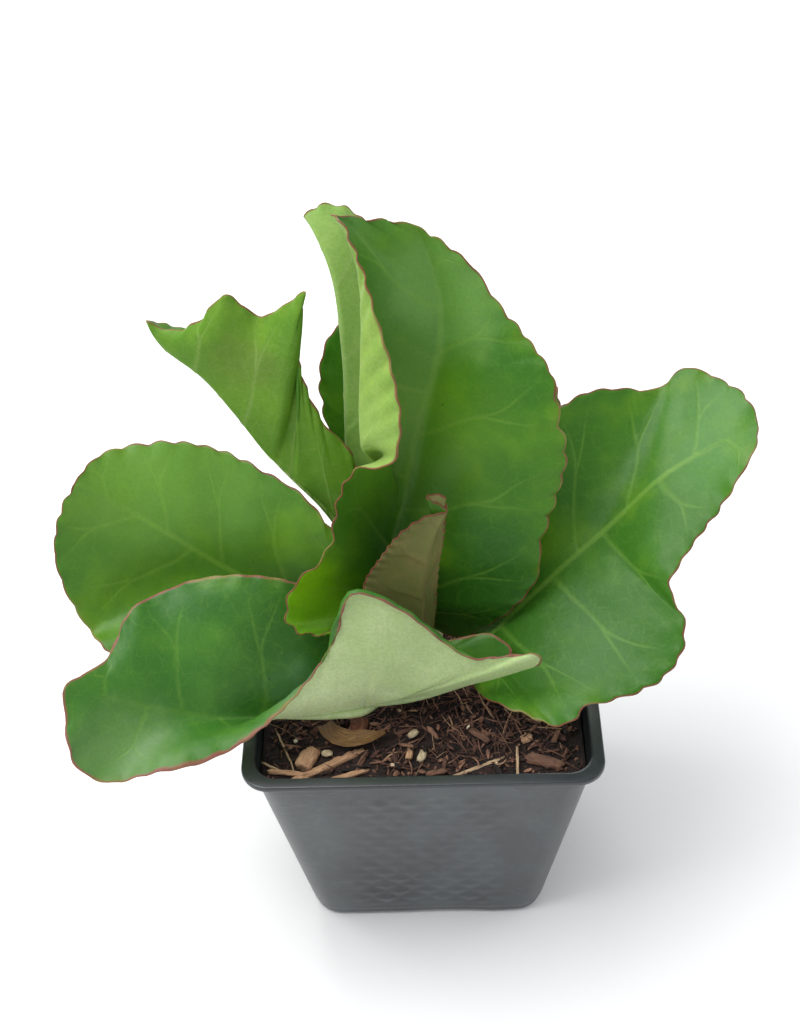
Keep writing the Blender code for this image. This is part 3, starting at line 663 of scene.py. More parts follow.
def grid_faces(rows: int, columns: int, start: int = 0, closed: bool = False) -> list[tuple[int, ...]]:
    """Quads of a grid of corners.

    Args:
        rows: rows of corners.
        columns: corners in a row.
        start: number of the first corner.
        closed: whether the last column meets the first.

    Returns:
        Faces turned to the side from which columns, then rows, run anticlockwise.
    """
    across = columns if closed else columns - 1
    faces = []
    for i in range(rows - 1):
        for j in range(across):
            k = (j + 1) % columns
            a, b = start + i * columns, start + (i + 1) * columns
            faces.append((a + j, a + k, b + k, b + j))
    return faces


def applied(target: bpy.types.Object) -> bpy.types.Object:
    """Turn an object's modifiers into its plain mesh."""
    bpy.context.view_layer.update()
    seen = target.evaluated_get(bpy.context.evaluated_depsgraph_get())
    mesh = bpy.data.meshes.new_from_object(seen)
    target.modifiers.clear()
    target.data = mesh
    return target


class Recipe(Graph):
    """A Geometry Nodes tree with named inputs."""

    def __init__(self, name: str) -> None:
        """Start a tree that takes and gives geometry."""
        super().__init__(bpy.data.node_groups.new(name, "GeometryNodeTree"))
        self.identifiers: dict[str, str] = {}
        self.input("Geometry", "NodeSocketGeometry")
        self.tree.interface.new_socket("Geometry", in_out="OUTPUT", socket_type="NodeSocketGeometry")
        self.inputs = self.tree.nodes.new("NodeGroupInput")
        self.outputs = self.tree.nodes.new("NodeGroupOutput")

    def input(self, name: str, kind: str) -> None:
        """Add a named input, before any of its uses."""
        socket = self.tree.interface.new_socket(name, in_out="INPUT", socket_type=kind)
        self.identifiers[name] = socket.identifier

    def given(self, name: str) -> Value:
        """A named input's value."""
        return Value(self, self.inputs.outputs[name])

    def finish(self, geometry: Value, *materials: tuple[bpy.types.Material, Value | None]) -> None:
        """End the tree in Realize Instances and Set Material.

        Args:
            geometry: what has been made.
            materials: each with the selection that it goes on, or None for all.
        """
        geometry = self.node("GeometryNodeRealizeInstances", None, {"Geometry": geometry})
        for material, chosen in materials:
            values = {"Geometry": geometry, "Material": material}
            if chosen:
                values["Selection"] = chosen
            geometry = self.node("GeometryNodeSetMaterial", None, values)
        self.tree.links.new(geometry.socket, self.outputs.inputs["Geometry"])

    def run(self, target: bpy.types.Object, **given: object) -> bpy.types.Object:
        """Dress an object with the tree and make the result its plain mesh.

        Args:
            target: the object whose mesh goes in.
            given: a value for each named input, with underscores for spaces.

        Returns:
            The same object.
        """
        change = target.modifiers.new(self.tree.name, "NODES")
        change.node_group = self.tree
        for name, value in given.items():
            change[self.identifiers[name.replace("_", " ")]] = value
        return applied(target)


class Tube:
    """A round tube of changing thickness along a path, made by Geometry Nodes and joined to what goes in."""

    def __init__(self, skin: bpy.types.Material, tube_skin: bpy.types.Material) -> None:
        """Build the tree.

        Args:
            skin: the finish of what goes in.
            tube_skin: the finish of the tube.
        """
        recipe = Recipe("tube_on_path")
        recipe.input("Path", "NodeSocketObject")
        recipe.input("Sides", "NodeSocketInt")
        path = recipe.node("GeometryNodeObjectInfo", None, {"Object": recipe.given("Path")}, out="Geometry")
        curve = recipe.node("GeometryNodeMeshToCurve", None, {"Mesh": path})
        radius = recipe.node("GeometryNodeInputNamedAttribute", {"data_type": "FLOAT"}, {"Name": "radius"})
        curve = recipe.node("GeometryNodeSetCurveRadius", None, {"Curve": curve, "Radius": radius})
        circle = recipe.node("GeometryNodeCurvePrimitiveCircle", None, {
            "Resolution": recipe.given("Sides"), "Radius": 1.0})
        sweep = recipe.add("GeometryNodeCurveToMesh", None, {
            "Curve": curve, "Profile Curve": circle, "Fill Caps": True})
        if "Scale" in sweep.inputs:
            recipe.tree.links.new(radius.socket, sweep.inputs["Scale"])
        tube = Value(recipe, sweep.outputs["Mesh"])
        tube = recipe.node("GeometryNodeSetShadeSmooth", None, {"Geometry": tube})
        tube = recipe.node("GeometryNodeStoreNamedAttribute", {"data_type": "BOOLEAN", "domain": "FACE"}, {
            "Geometry": tube, "Name": "is_tube", "Value": True})
        join = recipe.add("GeometryNodeJoinGeometry")
        recipe.tree.links.new(tube.socket, join.inputs[0])
        recipe.tree.links.new(recipe.given("Geometry").socket, join.inputs[0])
        chosen = recipe.node("GeometryNodeInputNamedAttribute", {"data_type": "BOOLEAN"}, {"Name": "is_tube"})
        recipe.finish(Value(recipe, join.outputs[0]), (skin, None), (tube_skin, chosen))
        self.recipe = recipe

    def add(self, target: bpy.types.Object, path: np.ndarray, radius: np.ndarray, low: np.ndarray,
            sides: int = 20) -> bpy.types.Object:
        """Join a tube to an object.

        Args:
            target: the object to join it to.
            path: the tube's middle line.
            radius: its radius at each point.
            low: how near each point is to the crown, from 0 to 1.
            sides: how many sides the tube has.

        Returns:
            The same object, with the tube in its mesh.
        """
        mesh = bpy.data.meshes.new("path")
        mesh.from_pydata(path.tolist(), [(i, i + 1) for i in range(len(path) - 1)], [])
        carry(mesh, {"radius": radius, "low": low})
        guide = bpy.data.objects.new("path", mesh)
        bpy.context.scene.collection.objects.link(guide)
        self.recipe.run(target, Path=guide, Sides=sides)
        bpy.data.objects.remove(guide)
        return target


class Hand(Enum):
    """A half of a leaf, seen from above with its tip away. The value is its sign in the cross products."""

    LEFT = -1.0
    RIGHT = 1.0


@dataclass(frozen=True)
class Lip:
    """A stretch of margin that curls back towards the underside.

    hand is the leaf's half. start and stop are shares of its margin. width is how much of the blade curls, in
    millimetres, and degrees how far it turns. The blade grows by reach millimetres to take the curl. facing
    is the way that its upper face looks there.
    """

    hand: Hand
    start: float
    stop: float
    width: float
    degrees: float
    reach: float
    facing: Point

    def curl(self, rim: np.ndarray, share: np.ndarray, tangent: np.ndarray) -> np.ndarray:
        """How far each point of the blade moves.

        Args:
            rim: its distance from the margin in millimetres.
            share: where on the margin its row ends, from 0 to 1.
            tangent: the way along the margin at each row.

        Returns:
            A vector for each point, in metres.
        """
        where = (step(share, self.start, self.start + 0.10) * step(self.stop - share, 0.0, 0.12))[:, None]
        curled = np.clip(1.0 - rim / self.width, 0.0, 1.0)
        turn = math.radians(self.degrees) * curled * where
        radius = self.width / math.radians(self.degrees)
        flat = self.width * curled * where
        stretched = 4.0 * self.width
        out = radius * np.sin(turn) - flat + self.reach * where * step(stretched - rim, 0.0, stretched)
        down = radius * (1.0 - np.cos(turn))
        side = unit(np.cross(tangent, self.facing)) * self.hand.value
        return (side[:, None] * out[..., None] - np.array(self.facing) * down[..., None]) * MM


@dataclass(frozen=True)
class Leaf:
    """One leaf: stalk, midrib and blade, from the same outline as its solid, in millimetres."""

    name: str
    fan: float
    stalk: list[Point]
    midrib: list[Point]
    left: list[Point]
    right: list[Point]
    skin: LeafSkin
    lips: tuple[Lip, ...] = ()
    stalk_scale: float = 1.0
    rib_reach: float = 0.6
    side_veins: float = 7.0
    wave: float = 0.45
    tooth: float = 0.95
    tooth_pitch: float = 7.6
    tooth_drift: float = 1.6
    tooth_jitter: float = 1.1
    tooth_skew: float = 1.3
    quilt: float = 0.20
    wave_grain: float = 15.0
    dimple: float = 0.10
    dimple_grain: float = 5.0
    frill_rise: float = 0.35
    keel: float = 0.75
    keel_width: float = 1.5
    vein_keel: float = 0.16
    vein_keel_width: float = 0.8
    stalk_radius: float = 2.0
    foot_swell: float = 1.1
    rib_tip: float = 0.15
    rib_drop: float = 0.2
    fold_ease: int = 6
    rows: int = 180
    columns: int = 34
    thick_middle: float = 0.75
    thick_margin: float = 0.42

    def build(self) -> bpy.types.Object:
        """Make the leaf as one mesh."""
        halves = {hand: self._half(hand) for hand in Hand}
        left, right = halves[Hand.LEFT], halves[Hand.RIGHT]
        grid = np.concatenate([left["place"][:, ::-1], right["place"][:, 1:]], axis=1)
        marks = {
            mark: np.concatenate([left[mark][:, ::-1], right[mark][:, 1:]], axis=1)
            for mark in ("rim", "mid", "vein", "pitch", "reach", "along", "frill")
        }
        self._ease_fold(grid)
        normal = self._normals(grid)
        grid = grid + normal * self._relief(grid, marks)[..., None]
        normal = self._normals(grid)
        blade = self._thicken(grid, normal, marks)
        return self._with_stalk(blade, grid, normal)

    def _margin(self, hand: Hand) -> np.ndarray:
        """Even points of one half's margin, from the stalk to the tip, which both halves round together."""
        near, far = (self.left, self.right) if hand is Hand.LEFT else (self.right, self.left)
        joined = [*near, *((*place, -bow) for *place, bow in far[-2::-1])]
        fine = smooth_path(joined, 2 * PATH_STEPS)
        tip = np.argmin(np.linalg.norm(fine[:, :3] - near[-1][:3], axis=1))
        run = arc(fine[: tip + 1, :3])
        wanted = np.linspace(0.0, run[-1], self.rows + 1)
        margin = np.stack([np.interp(wanted, run, fine[: tip + 1, axis]) for axis in range(4)], axis=1)
        margin[-1] = near[-1]
        return margin * MM

    def _half(self, hand: Hand) -> dict[str, np.ndarray]:
        """Places and marks of one half, a row for each vein from the midrib to the margin."""
        midrib = smooth_path(self.midrib, PATH_STEPS) * MM
        margin = self._margin(hand)
        edge, bow = margin[:, :3], margin[:, 3:]
        share = np.linspace(0.0, 1.0, self.rows + 1)
        foot_at = np.clip((share - self.fan) / (1.0 - self.fan), 0.0, 1.0)
        steps = np.linspace(0.0, 1.0, PATH_STEPS)
        foot = np.stack([np.interp(foot_at, steps, midrib[:, axis]) for axis in range(3)], axis=1)
        tangent = np.gradient(edge, axis=0)
        outward = unit(edge - foot)
        length = np.linalg.norm(edge - foot, axis=1)
        upper = unit(self._blurred(np.cross(edge - foot, tangent))) * hand.value
        middle = (foot + edge) / 2 + bow * upper
        side = unit(self._blurred(unit(np.cross(tangent, upper)) * hand.value, 0.015))
        frill, inset = self._teeth(arc(edge) * PER_MM, share, hand)
        edge = edge - side * inset[:, None]
        v = np.linspace(0.0, 1.0, self.columns + 1)[None, :, None]
        place = (1 - v) ** 2 * foot[:, None] + 2 * v * (1 - v) * middle[:, None] + v**2 * edge[:, None]
        flat_v = v[..., 0]
        slant = np.maximum(np.linalg.norm(np.cross(outward, unit(tangent)), axis=1), 0.3)
        rim = (1.0 - flat_v) * length[:, None] * PER_MM * slant[:, None]
        for lip in self.lips:
            if lip.hand is hand:
                place = place + lip.curl(rim, share, unit(self._blurred(tangent, 0.02)))
        spread = np.linalg.norm(np.gradient(place, axis=0), axis=2) * self.rows * PER_MM / self.side_veins
        return {
            "place": place,
            "rim": rim,
            "mid": flat_v * length[:, None] * PER_MM,
            "vein": np.broadcast_to(share[:, None] * self.side_veins + (0.5 if hand is Hand.LEFT else 0.0),
                                    rim.shape),
            "pitch": spread,
            "reach": np.broadcast_to(flat_v, rim.shape),
            "along": np.broadcast_to(foot_at[:, None], rim.shape),
            "frill": frill[:, None] * np.clip(1.0 - rim / 5.0, 0.0, 1.0) ** 2,
        }

    def _teeth(self, run: np.ndarray, share: np.ndarray, hand: Hand) -> tuple[np.ndarray, np.ndarray]:
        """The uneven shallow teeth of one half's margin.

        Args:
            run: the length along the margin at each row, in millimetres.
            share: the same, from 0 to 1.
            hand: the leaf's half.

        Returns:
            How far each row waves up or down, from -1 to 1, and how far in its margin is, in metres.
        """
        wander = self.tooth_drift * np.sin(run / 23.0 + hand.value) + self.tooth_jitter * np.sin(run / 7.0)
        phase = (run + wander) / self.tooth_pitch
        lobe = np.sin(np.pi * (phase % 1.0) ** self.tooth_skew)
        fade = step(share, 0.05, 0.14) * step(1.0 - share, 0.0, 0.03)
        size = 0.75 + 0.25 * np.sin(run / 17.0 + 2.0 * hand.value) + 0.25 * np.sin(run / 5.3)
        return np.sin(2 * np.pi * phase) * fade, (1.0 - lobe) * self.tooth * size * fade * MM

    def _blurred(self, rows: np.ndarray, width: float = 0.035) -> np.ndarray:
        """Vectors averaged with their neighbours along the leaf, over a share of its rows."""
        reach = max(1, int(3 * width * self.rows))
        kernel = np.exp(-((np.arange(-reach, reach + 1) / (width * self.rows)) ** 2))
        kernel /= kernel.sum()
        padded = np.pad(rows, ((reach, reach), (0, 0)), mode="edge")
        return np.stack([np.convolve(padded[:, axis], kernel, "valid") for axis in range(3)], axis=1)

    def _ease_fold(self, grid: np.ndarray) -> None:
        """Round the crease along the midrib, beyond the part where the veins fan out."""
        share = np.linspace(0.0, 1.0, self.rows + 1)
        weight = step(share, self.fan, self.fan + 0.15)[:, None]
        middle = self.columns
        for _ in range(self.fold_ease):
            before = grid.copy()
            for offset in range(-4, 5):
                column = middle + offset
                mean = (before[:, column - 1] + before[:, column + 1]) / 2
                grid[:, column] += (mean - before[:, column]) * weight * (1.0 - abs(offset) / 5.0)

    def _normals(self, grid: np.ndarray) -> np.ndarray:
        """Normals of a grid towards the upper face, the same where corners meet."""
        across = grid[:-1, 1:] - grid[:-1, :-1]
        ahead = grid[1:, :-1] - grid[:-1, :-1]
        far_across = grid[1:, 1:] - grid[1:, :-1]
        far_ahead = grid[1:, 1:] - grid[:-1, 1:]
        face = np.cross(across, ahead) + np.cross(far_across, far_ahead)
        total = np.zeros_like(grid)
        for part in (np.s_[:-1, :-1], np.s_[:-1, 1:], np.s_[1:, :-1], np.s_[1:, 1:]):
            total[part] += face
        flat = np.round(grid.reshape(-1, 3) / WELD).astype(np.int64)
        _, group = np.unique(flat, axis=0, return_inverse=True)
        group = group.ravel()
        summed = np.zeros((group.max() + 1, 3))
        np.add.at(summed, group, total.reshape(-1, 3))
        return unit(summed[group]).reshape(grid.shape)

    def _relief(self, grid: np.ndarray, marks: dict[str, np.ndarray]) -> np.ndarray:
        """How far the blade swells between its side veins and waves near its margin."""
        reach = marks["reach"]
        quilt = self.quilt * np.cos(2 * np.pi * marks["vein"]) * np.sin(np.pi * np.clip(reach, 0.0, 1.0))
        seed = float(sum(map(ord, self.name)) % 97)
        wave = rumple(grid, self.wave_grain * MM, 1, seed) * self.wave * step(reach, 0.25, 1.0)
        dimples = rumple(grid, self.dimple_grain * MM, 1, seed + 7.0) * self.dimple
        away = step(marks["mid"], 1.0, 12.0)
        return (quilt + wave + dimples + marks["frill"] * self.frill_rise) * away * MM

    def _thicken(self, grid: np.ndarray, normal: np.ndarray,
                 marks: dict[str, np.ndarray]) -> bpy.types.Object:
        """The blade's two faces and the round edge between them, with a keel under the midrib."""
        rows, columns = grid.shape[:2]
        thin = step(marks["rim"], 0.0, 7.0)
        thick = (self.thick_margin + (self.thick_middle - self.thick_margin) * thin) * MM / 2
        keel = self.keel * np.exp(-((marks["mid"] / self.keel_width) ** 2)) * (1.0 - marks["along"]) ** 0.7
        from_vein = np.abs(marks["vein"] % 1.0 - 0.5) * marks["pitch"]
        keel += self.vein_keel * np.exp(-((from_vein / self.vein_keel_width) ** 2)) * (1.0 - marks["reach"])
        keel *= step(marks["rim"], 0.5, 5.0)
        upper = grid + normal * thick[..., None]
        lower = grid - normal * (thick + keel * MM)[..., None]
        edges = []
        for column, inner in ((0, 1), (columns - 1, columns - 2)):
            out = unit(grid[:, column] - grid[:, inner])
            edges.append(grid[:, column] + out * thick[:, column, None] * 0.8)
        count = rows * columns
        points = np.concatenate([upper.reshape(-1, 3), lower.reshape(-1, 3), *edges])
        faces = grid_faces(rows, columns)
        faces += [face[::-1] for face in grid_faces(rows, columns, count)]
        first, last = 2 * count, 2 * count + rows
        for i in range(rows - 1):
            a, b = i * columns, (i + 1) * columns
            c, d = a + columns - 1, b + columns - 1
            faces.append((first + i, a, b, first + i + 1))
            faces.append((count + a, first + i, first + i + 1, count + b))
            faces.append((c, last + i, last + i + 1, d))
            faces.append((last + i, count + c, count + d, last + i + 1))
        carried = {}
        for mark, values in marks.items():
            sides = [values[:, 0], values[:, -1]]
            carried[mark] = np.concatenate([values.ravel(), values.ravel(), *sides])
        carried["up"] = np.concatenate([np.ones(count), np.zeros(count), np.full(2 * rows, 0.5)])
        return mesh_object(self.name, points, faces, self.skin.build(), carried)

    def _with_stalk(self, blade: bpy.types.Object, grid: np.ndarray, normal: np.ndarray) -> bpy.types.Object:
        """Join the stalk, which runs out into the rib under the blade."""
        first = int(self.fan * self.rows) + 2
        last = first + int(self.rib_reach * (self.rows - first))
        every = max(1, (last - first) // 7)
        crease, below = grid[first:last:every, self.columns], normal[first:last:every, self.columns]
        stalk = np.array(self.stalk) * MM
        stalk_length = arc(np.concatenate([stalk, crease[:1]]))[-1]
        path = smooth_path([tuple(point) for point in np.concatenate([stalk, crease])], 90)
        run = arc(path)
        along = np.clip((run - stalk_length) / (run[-1] - stalk_length), 0.0, 1.0)
        before = np.clip(1.0 - run / stalk_length, 0.0, 1.0)
        taper = self.rib_tip + (self.stalk_radius - self.rib_tip) * (1.0 - along) ** 1.3
        radius = self.stalk_scale * (taper + self.foot_swell * before**1.5) * MM
        spots = np.linspace(0.0, 1.0, len(below))
        under = unit(np.stack([np.interp(along, spots, below[:, axis]) for axis in range(3)], axis=1))
        sunk = step(run, 0.6 * stalk_length, stalk_length)
        path = path - under * ((radius + self.rib_drop * MM) * sunk)[:, None]
        stalk_skin = StalkSkin(self.name + "_stalk_skin", self.skin.under_vein, self.skin.under_deep).build()
        return Tube(blade.data.materials[0], stalk_skin).add(blade, path, radius, before**0.6)


LEAVES = (
    Leaf(
        "leaf_tall", 0.32,
        stalk=[(-1, -7, 88), (-1.5, -6, 99)],
        midrib=[(-3, -2, 110), (-7, 2, 120), (-8, 6, 128), (-4, 12, 142), (1, 19, 161), (8, 27, 185),
                (8, 34, 199), (2, 39, 219)],
        left=[(-3, -2, 110, 0), (-16, -9, 119, -1), (-31, -22, 120, -2), (-38, -22, 126, -3),
              (-36, -18, 136, -4), (-26, -12, 145, -5), (-22, -7, 159, -8), (-16, -8, 172, -12),
              (-6, -12, 177, -18), (-3, -10, 189, -24), (-5, -2, 201, -26), (-11, 10, 220, -18),
              (-17, 23, 231, -8), (-20, 30, 229, -2), (-14, 35, 225, 0), (2, 39, 219, 0)],
        right=[(-3, -2, 110, 0), (11, -3, 98, 0), (18, -5, 103, 0), (28, -8, 115, 1), (35, -6, 126, 3),
               (36, -4, 137, 5), (40, 0, 151, 8), (43, 4, 165, 8), (41, 8, 175, 8), (39, 14, 185, 7),
               (32, 22, 193, 5), (24, 28, 201, 3), (16, 33, 211, 1), (2, 39, 219, 0)],
        skin=LeafSkin("leaf_tall_skin", under=(0.260, 0.385, 0.070), under_deep=(0.190, 0.320, 0.050),
                      middle_share=0.25, tints_and_painted_light=(
            # painted light: the lower-left lobe glows yellow-green, as if lit through the blade
            TintOrPaintedLight((-31, -19, 124), 24, (0.130, 0.330, 0.004), 0.9),
            TintOrPaintedLight((-29, -16, 137), 13, (0.190, 0.420, 0.004), 0.8),
            # painted shade: darker low in the middle, by the midrib's fold
            TintOrPaintedLight((14, -3, 112), 34, (0.011, 0.060, 0.006), 0.75),
            # painted light: a warm yellow-green glow in the middle of the blade
            TintOrPaintedLight((2, 20, 165), 34, (0.105, 0.245, 0.018), 0.60),
            # painted highlight: a paler, bluish patch near the tip
            TintOrPaintedLight((12, 31, 205), 26, (0.150, 0.310, 0.070), 0.70),
            # painted shade: darker patches on the right half
            TintOrPaintedLight((22, 4, 132), 26, (0.020, 0.100, 0.007), 0.60),
            TintOrPaintedLight((38, 2, 160), 22, (0.034, 0.140, 0.010), 0.60),
            TintOrPaintedLight((-17, -6, 168), 26, (0.330, 0.460, 0.130), 0.50, Face.LOWER))),
        stalk_scale=0.9, tooth=1.3,
    ),
    Leaf(
        "leaf_right", 0.3,
        stalk=[(-1, -7, 88), (8, -6, 92)],
        midrib=[(18, -6, 97), (28, -4, 109), (42, 2, 121), (58, 9, 133), (70, 14, 144), (81, 18, 150),
                (100, 23, 158)],
        left=[(18, -6, 97, 0), (16, 6, 104, -2), (26, 18, 124, -3), (36, 26, 144, -3), (43, 34, 157, -3),
              (53, 38, 160, -3), (63, 40, 159, -3), (73, 41, 158, -2), (81, 44, 163, -1), (91, 38, 163, -1),
              (98, 30, 162, 0), (100, 23, 158, 0)],
        right=[(18, -6, 97, 0), (16, -22, 96, 2), (23, -34, 102, 3), (31, -39, 103, 3), (38, -43, 103, 3),
               (44, -43, 106, 3), (46, -40, 107, 3), (58, -38, 109, 3), (68, -35, 112, 3), (75, -29, 118, 3),
               (76, -22, 124, 3), (72, -16, 131, 2), (78, -8, 138, 2), (87, 0, 146, 1), (93, 8, 150, 0),
               (99, 17, 155, 0), (100, 23, 158, 0)],
        skin=LeafSkin("leaf_right_skin", upper=(0.058, 0.180, 0.012), vein=(0.170, 0.330, 0.045),
                      vein_share=0.30, middle_share=0.55,
                      tints_and_painted_light=(
            # painted shade: the near half darker where leaf_tall shades it
            TintOrPaintedLight((40, -18, 108), 38, (0.026, 0.115, 0.006), 0.75),
            TintOrPaintedLight((64, -20, 116), 28, (0.032, 0.130, 0.009), 0.85),
            # painted sheen: a paler bluish patch on the far, upturned end
            TintOrPaintedLight((88, 24, 156), 24, (0.100, 0.250, 0.060), 0.45))),
    ),
    Leaf(
        "leaf_left", 0.3,
        stalk=[(-1, -7, 88), (-9, -8, 92)],
        midrib=[(-16, -2, 98), (-34, 4, 108), (-55, 8, 117), (-74, 11, 131), (-85, 13, 139), (-100, 14, 150)],
        left=[(-16, -2, 98, 0), (-30, -14, 96, -2), (-50, -20, 96, -3), (-70, -22, 99, -3),
              (-85, -20, 106, -3), (-94, -14, 108, -3), (-100, -6, 108, -2), (-105, -2, 117, -1),
              (-108, 4, 130, 0), (-105, 10, 143, 0), (-100, 14, 150, 0)],
        right=[(-16, -2, 98, 0), (-13, 3, 112, 1), (-19, 4, 126, 2), (-25, 6, 136, 3), (-32, 11, 144, 4),
               (-42, 18, 147, 4), (-56, 25, 151, 3), (-71, 27, 154, 2), (-85, 27, 153, 2), (-92, 24, 153, 1),
               (-97, 19, 152, 0), (-100, 14, 150, 0)],
        skin=LeafSkin("leaf_left_skin", upper=(0.085, 0.205, 0.017), upper_deep=(0.048, 0.150, 0.012), tints_and_painted_light=(
            TintOrPaintedLight((-66, 22, 146), 34, (0.120, 0.270, 0.036), 0.70),
            TintOrPaintedLight((-90, 18, 146), 20, (0.150, 0.300, 0.050), 0.35),
            # painted shade: darker near the base, under the other leaves
            TintOrPaintedLight((-34, 2, 112), 24, (0.030, 0.120, 0.008), 0.4))),
    ),
    Leaf(
        "leaf_front", 0.45,
        stalk=[(-1, -7, 87), (-7, -15, 89)],
        midrib=[(-17, -25, 93), (-36, -30, 93), (-56, -33, 96), (-76, -34, 104), (-101, -37, 118)],
        left=[(-17, -25, 93, 0), (6, -25, 98, -3), (24, -28, 110, -3), (35, -30, 116, -3), (33, -31, 121, -4),
              (27, -29, 118, -5), (16, -28, 117, -7), (6, -27, 125, -8), (-5, -27, 138, -9),
              (-17, -27, 145, -9), (-22, -28, 130, -8), (-28, -30, 119, -7), (-35, -34, 111, -6),
              (-50, -42, 101, -5), (-69, -50, 98, -4), (-89, -55, 97, -3), (-97, -54, 102, -2),
              (-100, -50, 108, -1), (-101, -42, 113, 0), (-101, -37, 118, 0)],
        right=[(-17, -25, 93, 0), (4, -20, 98, 1), (27, -19, 108, 1), (21, -15, 112, 2), (9, -15, 110, 2),
               (-4, -14, 108, 2), (-14, -13, 109, 3), (-24, -10, 117, 5), (-34, -6, 125, 6),
               (-49, -6, 130, 6), (-64, -6, 129, 5), (-75, -8, 126, 4), (-84, -14, 125, 3),
               (-91, -26, 117, 1), (-101, -37, 118, 0)],
        skin=LeafSkin("leaf_front_skin", upper=(0.060, 0.180, 0.022), upper_deep=(0.032, 0.130, 0.015),
                      upper_warm=(0.075, 0.200, 0.018), under=(0.450, 0.560, 0.270),
                      under_deep=(0.380, 0.490, 0.215),
                      under_vein=(0.480, 0.560, 0.280), margin=(0.240, 0.080, 0.065), margin_width=0.5,
                      middle_share=0.12, vein_share=0.18, tints_and_painted_light=(
                          # painted shade: the upper face darker in the hollow under leaf_tall
                          TintOrPaintedLight((-34, -12, 108), 40, (0.018, 0.085, 0.008), 0.85, Face.UPPER),
                          # painted sheen: paler bluish-green patches on the upper face, low down and along the
                          # curled margin
                          TintOrPaintedLight((-84, -48, 99), 22, (0.130, 0.240, 0.080), 0.75, Face.UPPER),
                          TintOrPaintedLight((-36, -34, 111), 15, (0.120, 0.250, 0.110), 0.75, Face.UPPER),
                          # painted light: the underside lightened low on the curl, where it faces down
                          TintOrPaintedLight((-28, -30, 99), 26, (0.680, 0.790, 0.440), 0.75, Face.LOWER))),
        lips=(Lip(Hand.LEFT, 0.24, 0.88, 4.5, 140.0, 4.5, (0.0, 1.0, 0.0)),),
        stalk_scale=0.75, tooth=0.45,
    ),
    Leaf(
        "leaf_upper_left", 0.2,
        stalk=[(-1, -7, 88), (-8, 1, 94)],
        midrib=[(-11, 9, 104), (-18, 12, 122), (-26, 14, 136), (-34, 15, 145), (-43, 17, 155), (-51, 21, 167),
                (-60, 26, 178), (-71, 31, 186), (-75, 34, 193)],
        left=[(-11, 9, 104, 0), (-11, 12, 125, -1), (-15, 14, 144, -2), (-19, 16, 159, -3),
              (-25, 17, 167, -3), (-31, 20, 185, -3), (-31, 22, 199, -3), (-28, 22, 210, -3),
              (-36, 26, 202, -3), (-42, 28, 198, -3), (-51, 29, 205, -3), (-59, 30, 196, -3), (-66, 32, 191, -2),
              (-72, 34, 191, -1), (-75, 34, 193, 0)],
        right=[(-11, 9, 104, 0), (-20, 20, 116, 0), (-32, 32, 136, 0), (-40, 42, 158, 0), (-39, 47, 180, 0),
               (-48, 50, 180, 0), (-60, 48, 178, 0), (-72, 42, 186, 0), (-75, 34, 193, 0)],
        skin=LeafSkin("leaf_upper_left_skin", under=(0.125, 0.265, 0.015), under_deep=(0.080, 0.200, 0.010),
                      under_vein=(0.270, 0.370, 0.110), tints_and_painted_light=(
                          TintOrPaintedLight((-46, 26, 184), 16, (0.130, 0.160, 0.035), 0.5),
                          TintOrPaintedLight((-48, 24, 172), 24, (0.090, 0.200, 0.014), 0.5),
                          TintOrPaintedLight((-18, 12, 122), 26, (0.230, 0.360, 0.090), 0.55))),
        tooth=0.6, wave=0.3, fold_ease=3,
    ),
    Leaf(
        "leaf_pale", 0.2,
        stalk=[(-1, -7, 90), (-1, 3, 98)],
        midrib=[(-5, 10, 105), (-14, 15, 125), (-20, 20, 150), (-20, 30, 180), (-22, 40, 203),
                (-29, 49, 217)],
        left=[(-5, 10, 105, 0), (4, 14, 120, -3), (10, 24, 145, -5), (12, 36, 170, -6), (7, 48, 190, -5),
              (-2, 54, 202, -4), (-10, 54, 209, -3), (-18, 53, 217, -2), (-25, 51, 219, -1),
              (-29, 49, 217, 0)],
        right=[(-5, 10, 105, 0), (-6, 24, 120, 0), (-8, 45, 150, 0), (-12, 62, 175, 0), (-18, 66, 190, 0),
               (-25, 60, 205, 0), (-29, 49, 217, 0)],
        skin=LeafSkin("leaf_pale_skin", under=(0.300, 0.460, 0.120), under_deep=(0.220, 0.380, 0.080)),
        wave=0.3, fold_ease=3,
    ),
    Leaf(
        "leaf_back", 0.25,
        stalk=[(-1, -7, 87), (4, 1, 90)],
        midrib=[(5, 12, 97), (6, 28, 122), (8, 46, 142), (9, 60, 154), (9, 74, 162)],
        left=[(5, 12, 97, 0), (-10, 20, 106, -2), (-22, 34, 128, -3), (-29, 46, 157, -3), (-26, 53, 170, -3),
              (-20, 62, 171, -3), (-8, 72, 169, -2), (9, 74, 162, 0)],
        right=[(5, 12, 97, 0), (18, 16, 108, 2), (32, 26, 124, 3), (44, 40, 154, 3), (40, 54, 156, 3),
               (28, 68, 160, 2), (9, 74, 162, 0)],
        skin=LeafSkin("leaf_back_skin", upper=(0.060, 0.190, 0.010)),
    ),
    Leaf(
        "leaf_young", 0.2,
        stalk=[(-1, -7, 89), (2, -10, 96)],
        midrib=[(3, -10, 103), (2, -10, 112), (2, -10, 124), (4, -8, 140), (9, -5, 153)],
        left=[(3, -10, 103, 0), (4, -8, 108, 0), (5, -6, 118, 0), (6, -5, 132, 0), (8, -4, 146, 0),
              (8, -2, 156, 0), (3, -2, 156, 0), (9, -5, 153, 0)],
        right=[(3, -10, 103, 0), (-6, -12, 108, 1), (-13, -12, 118, 2), (-16, -12, 130, 2),
               (-10, -10, 141, 2), (-4, -9, 149, 2), (3, -7, 153, 1), (9, -5, 153, 0)],
        skin=LeafSkin("leaf_young_skin", upper=(0.050, 0.120, 0.008), under=(0.255, 0.205, 0.080),
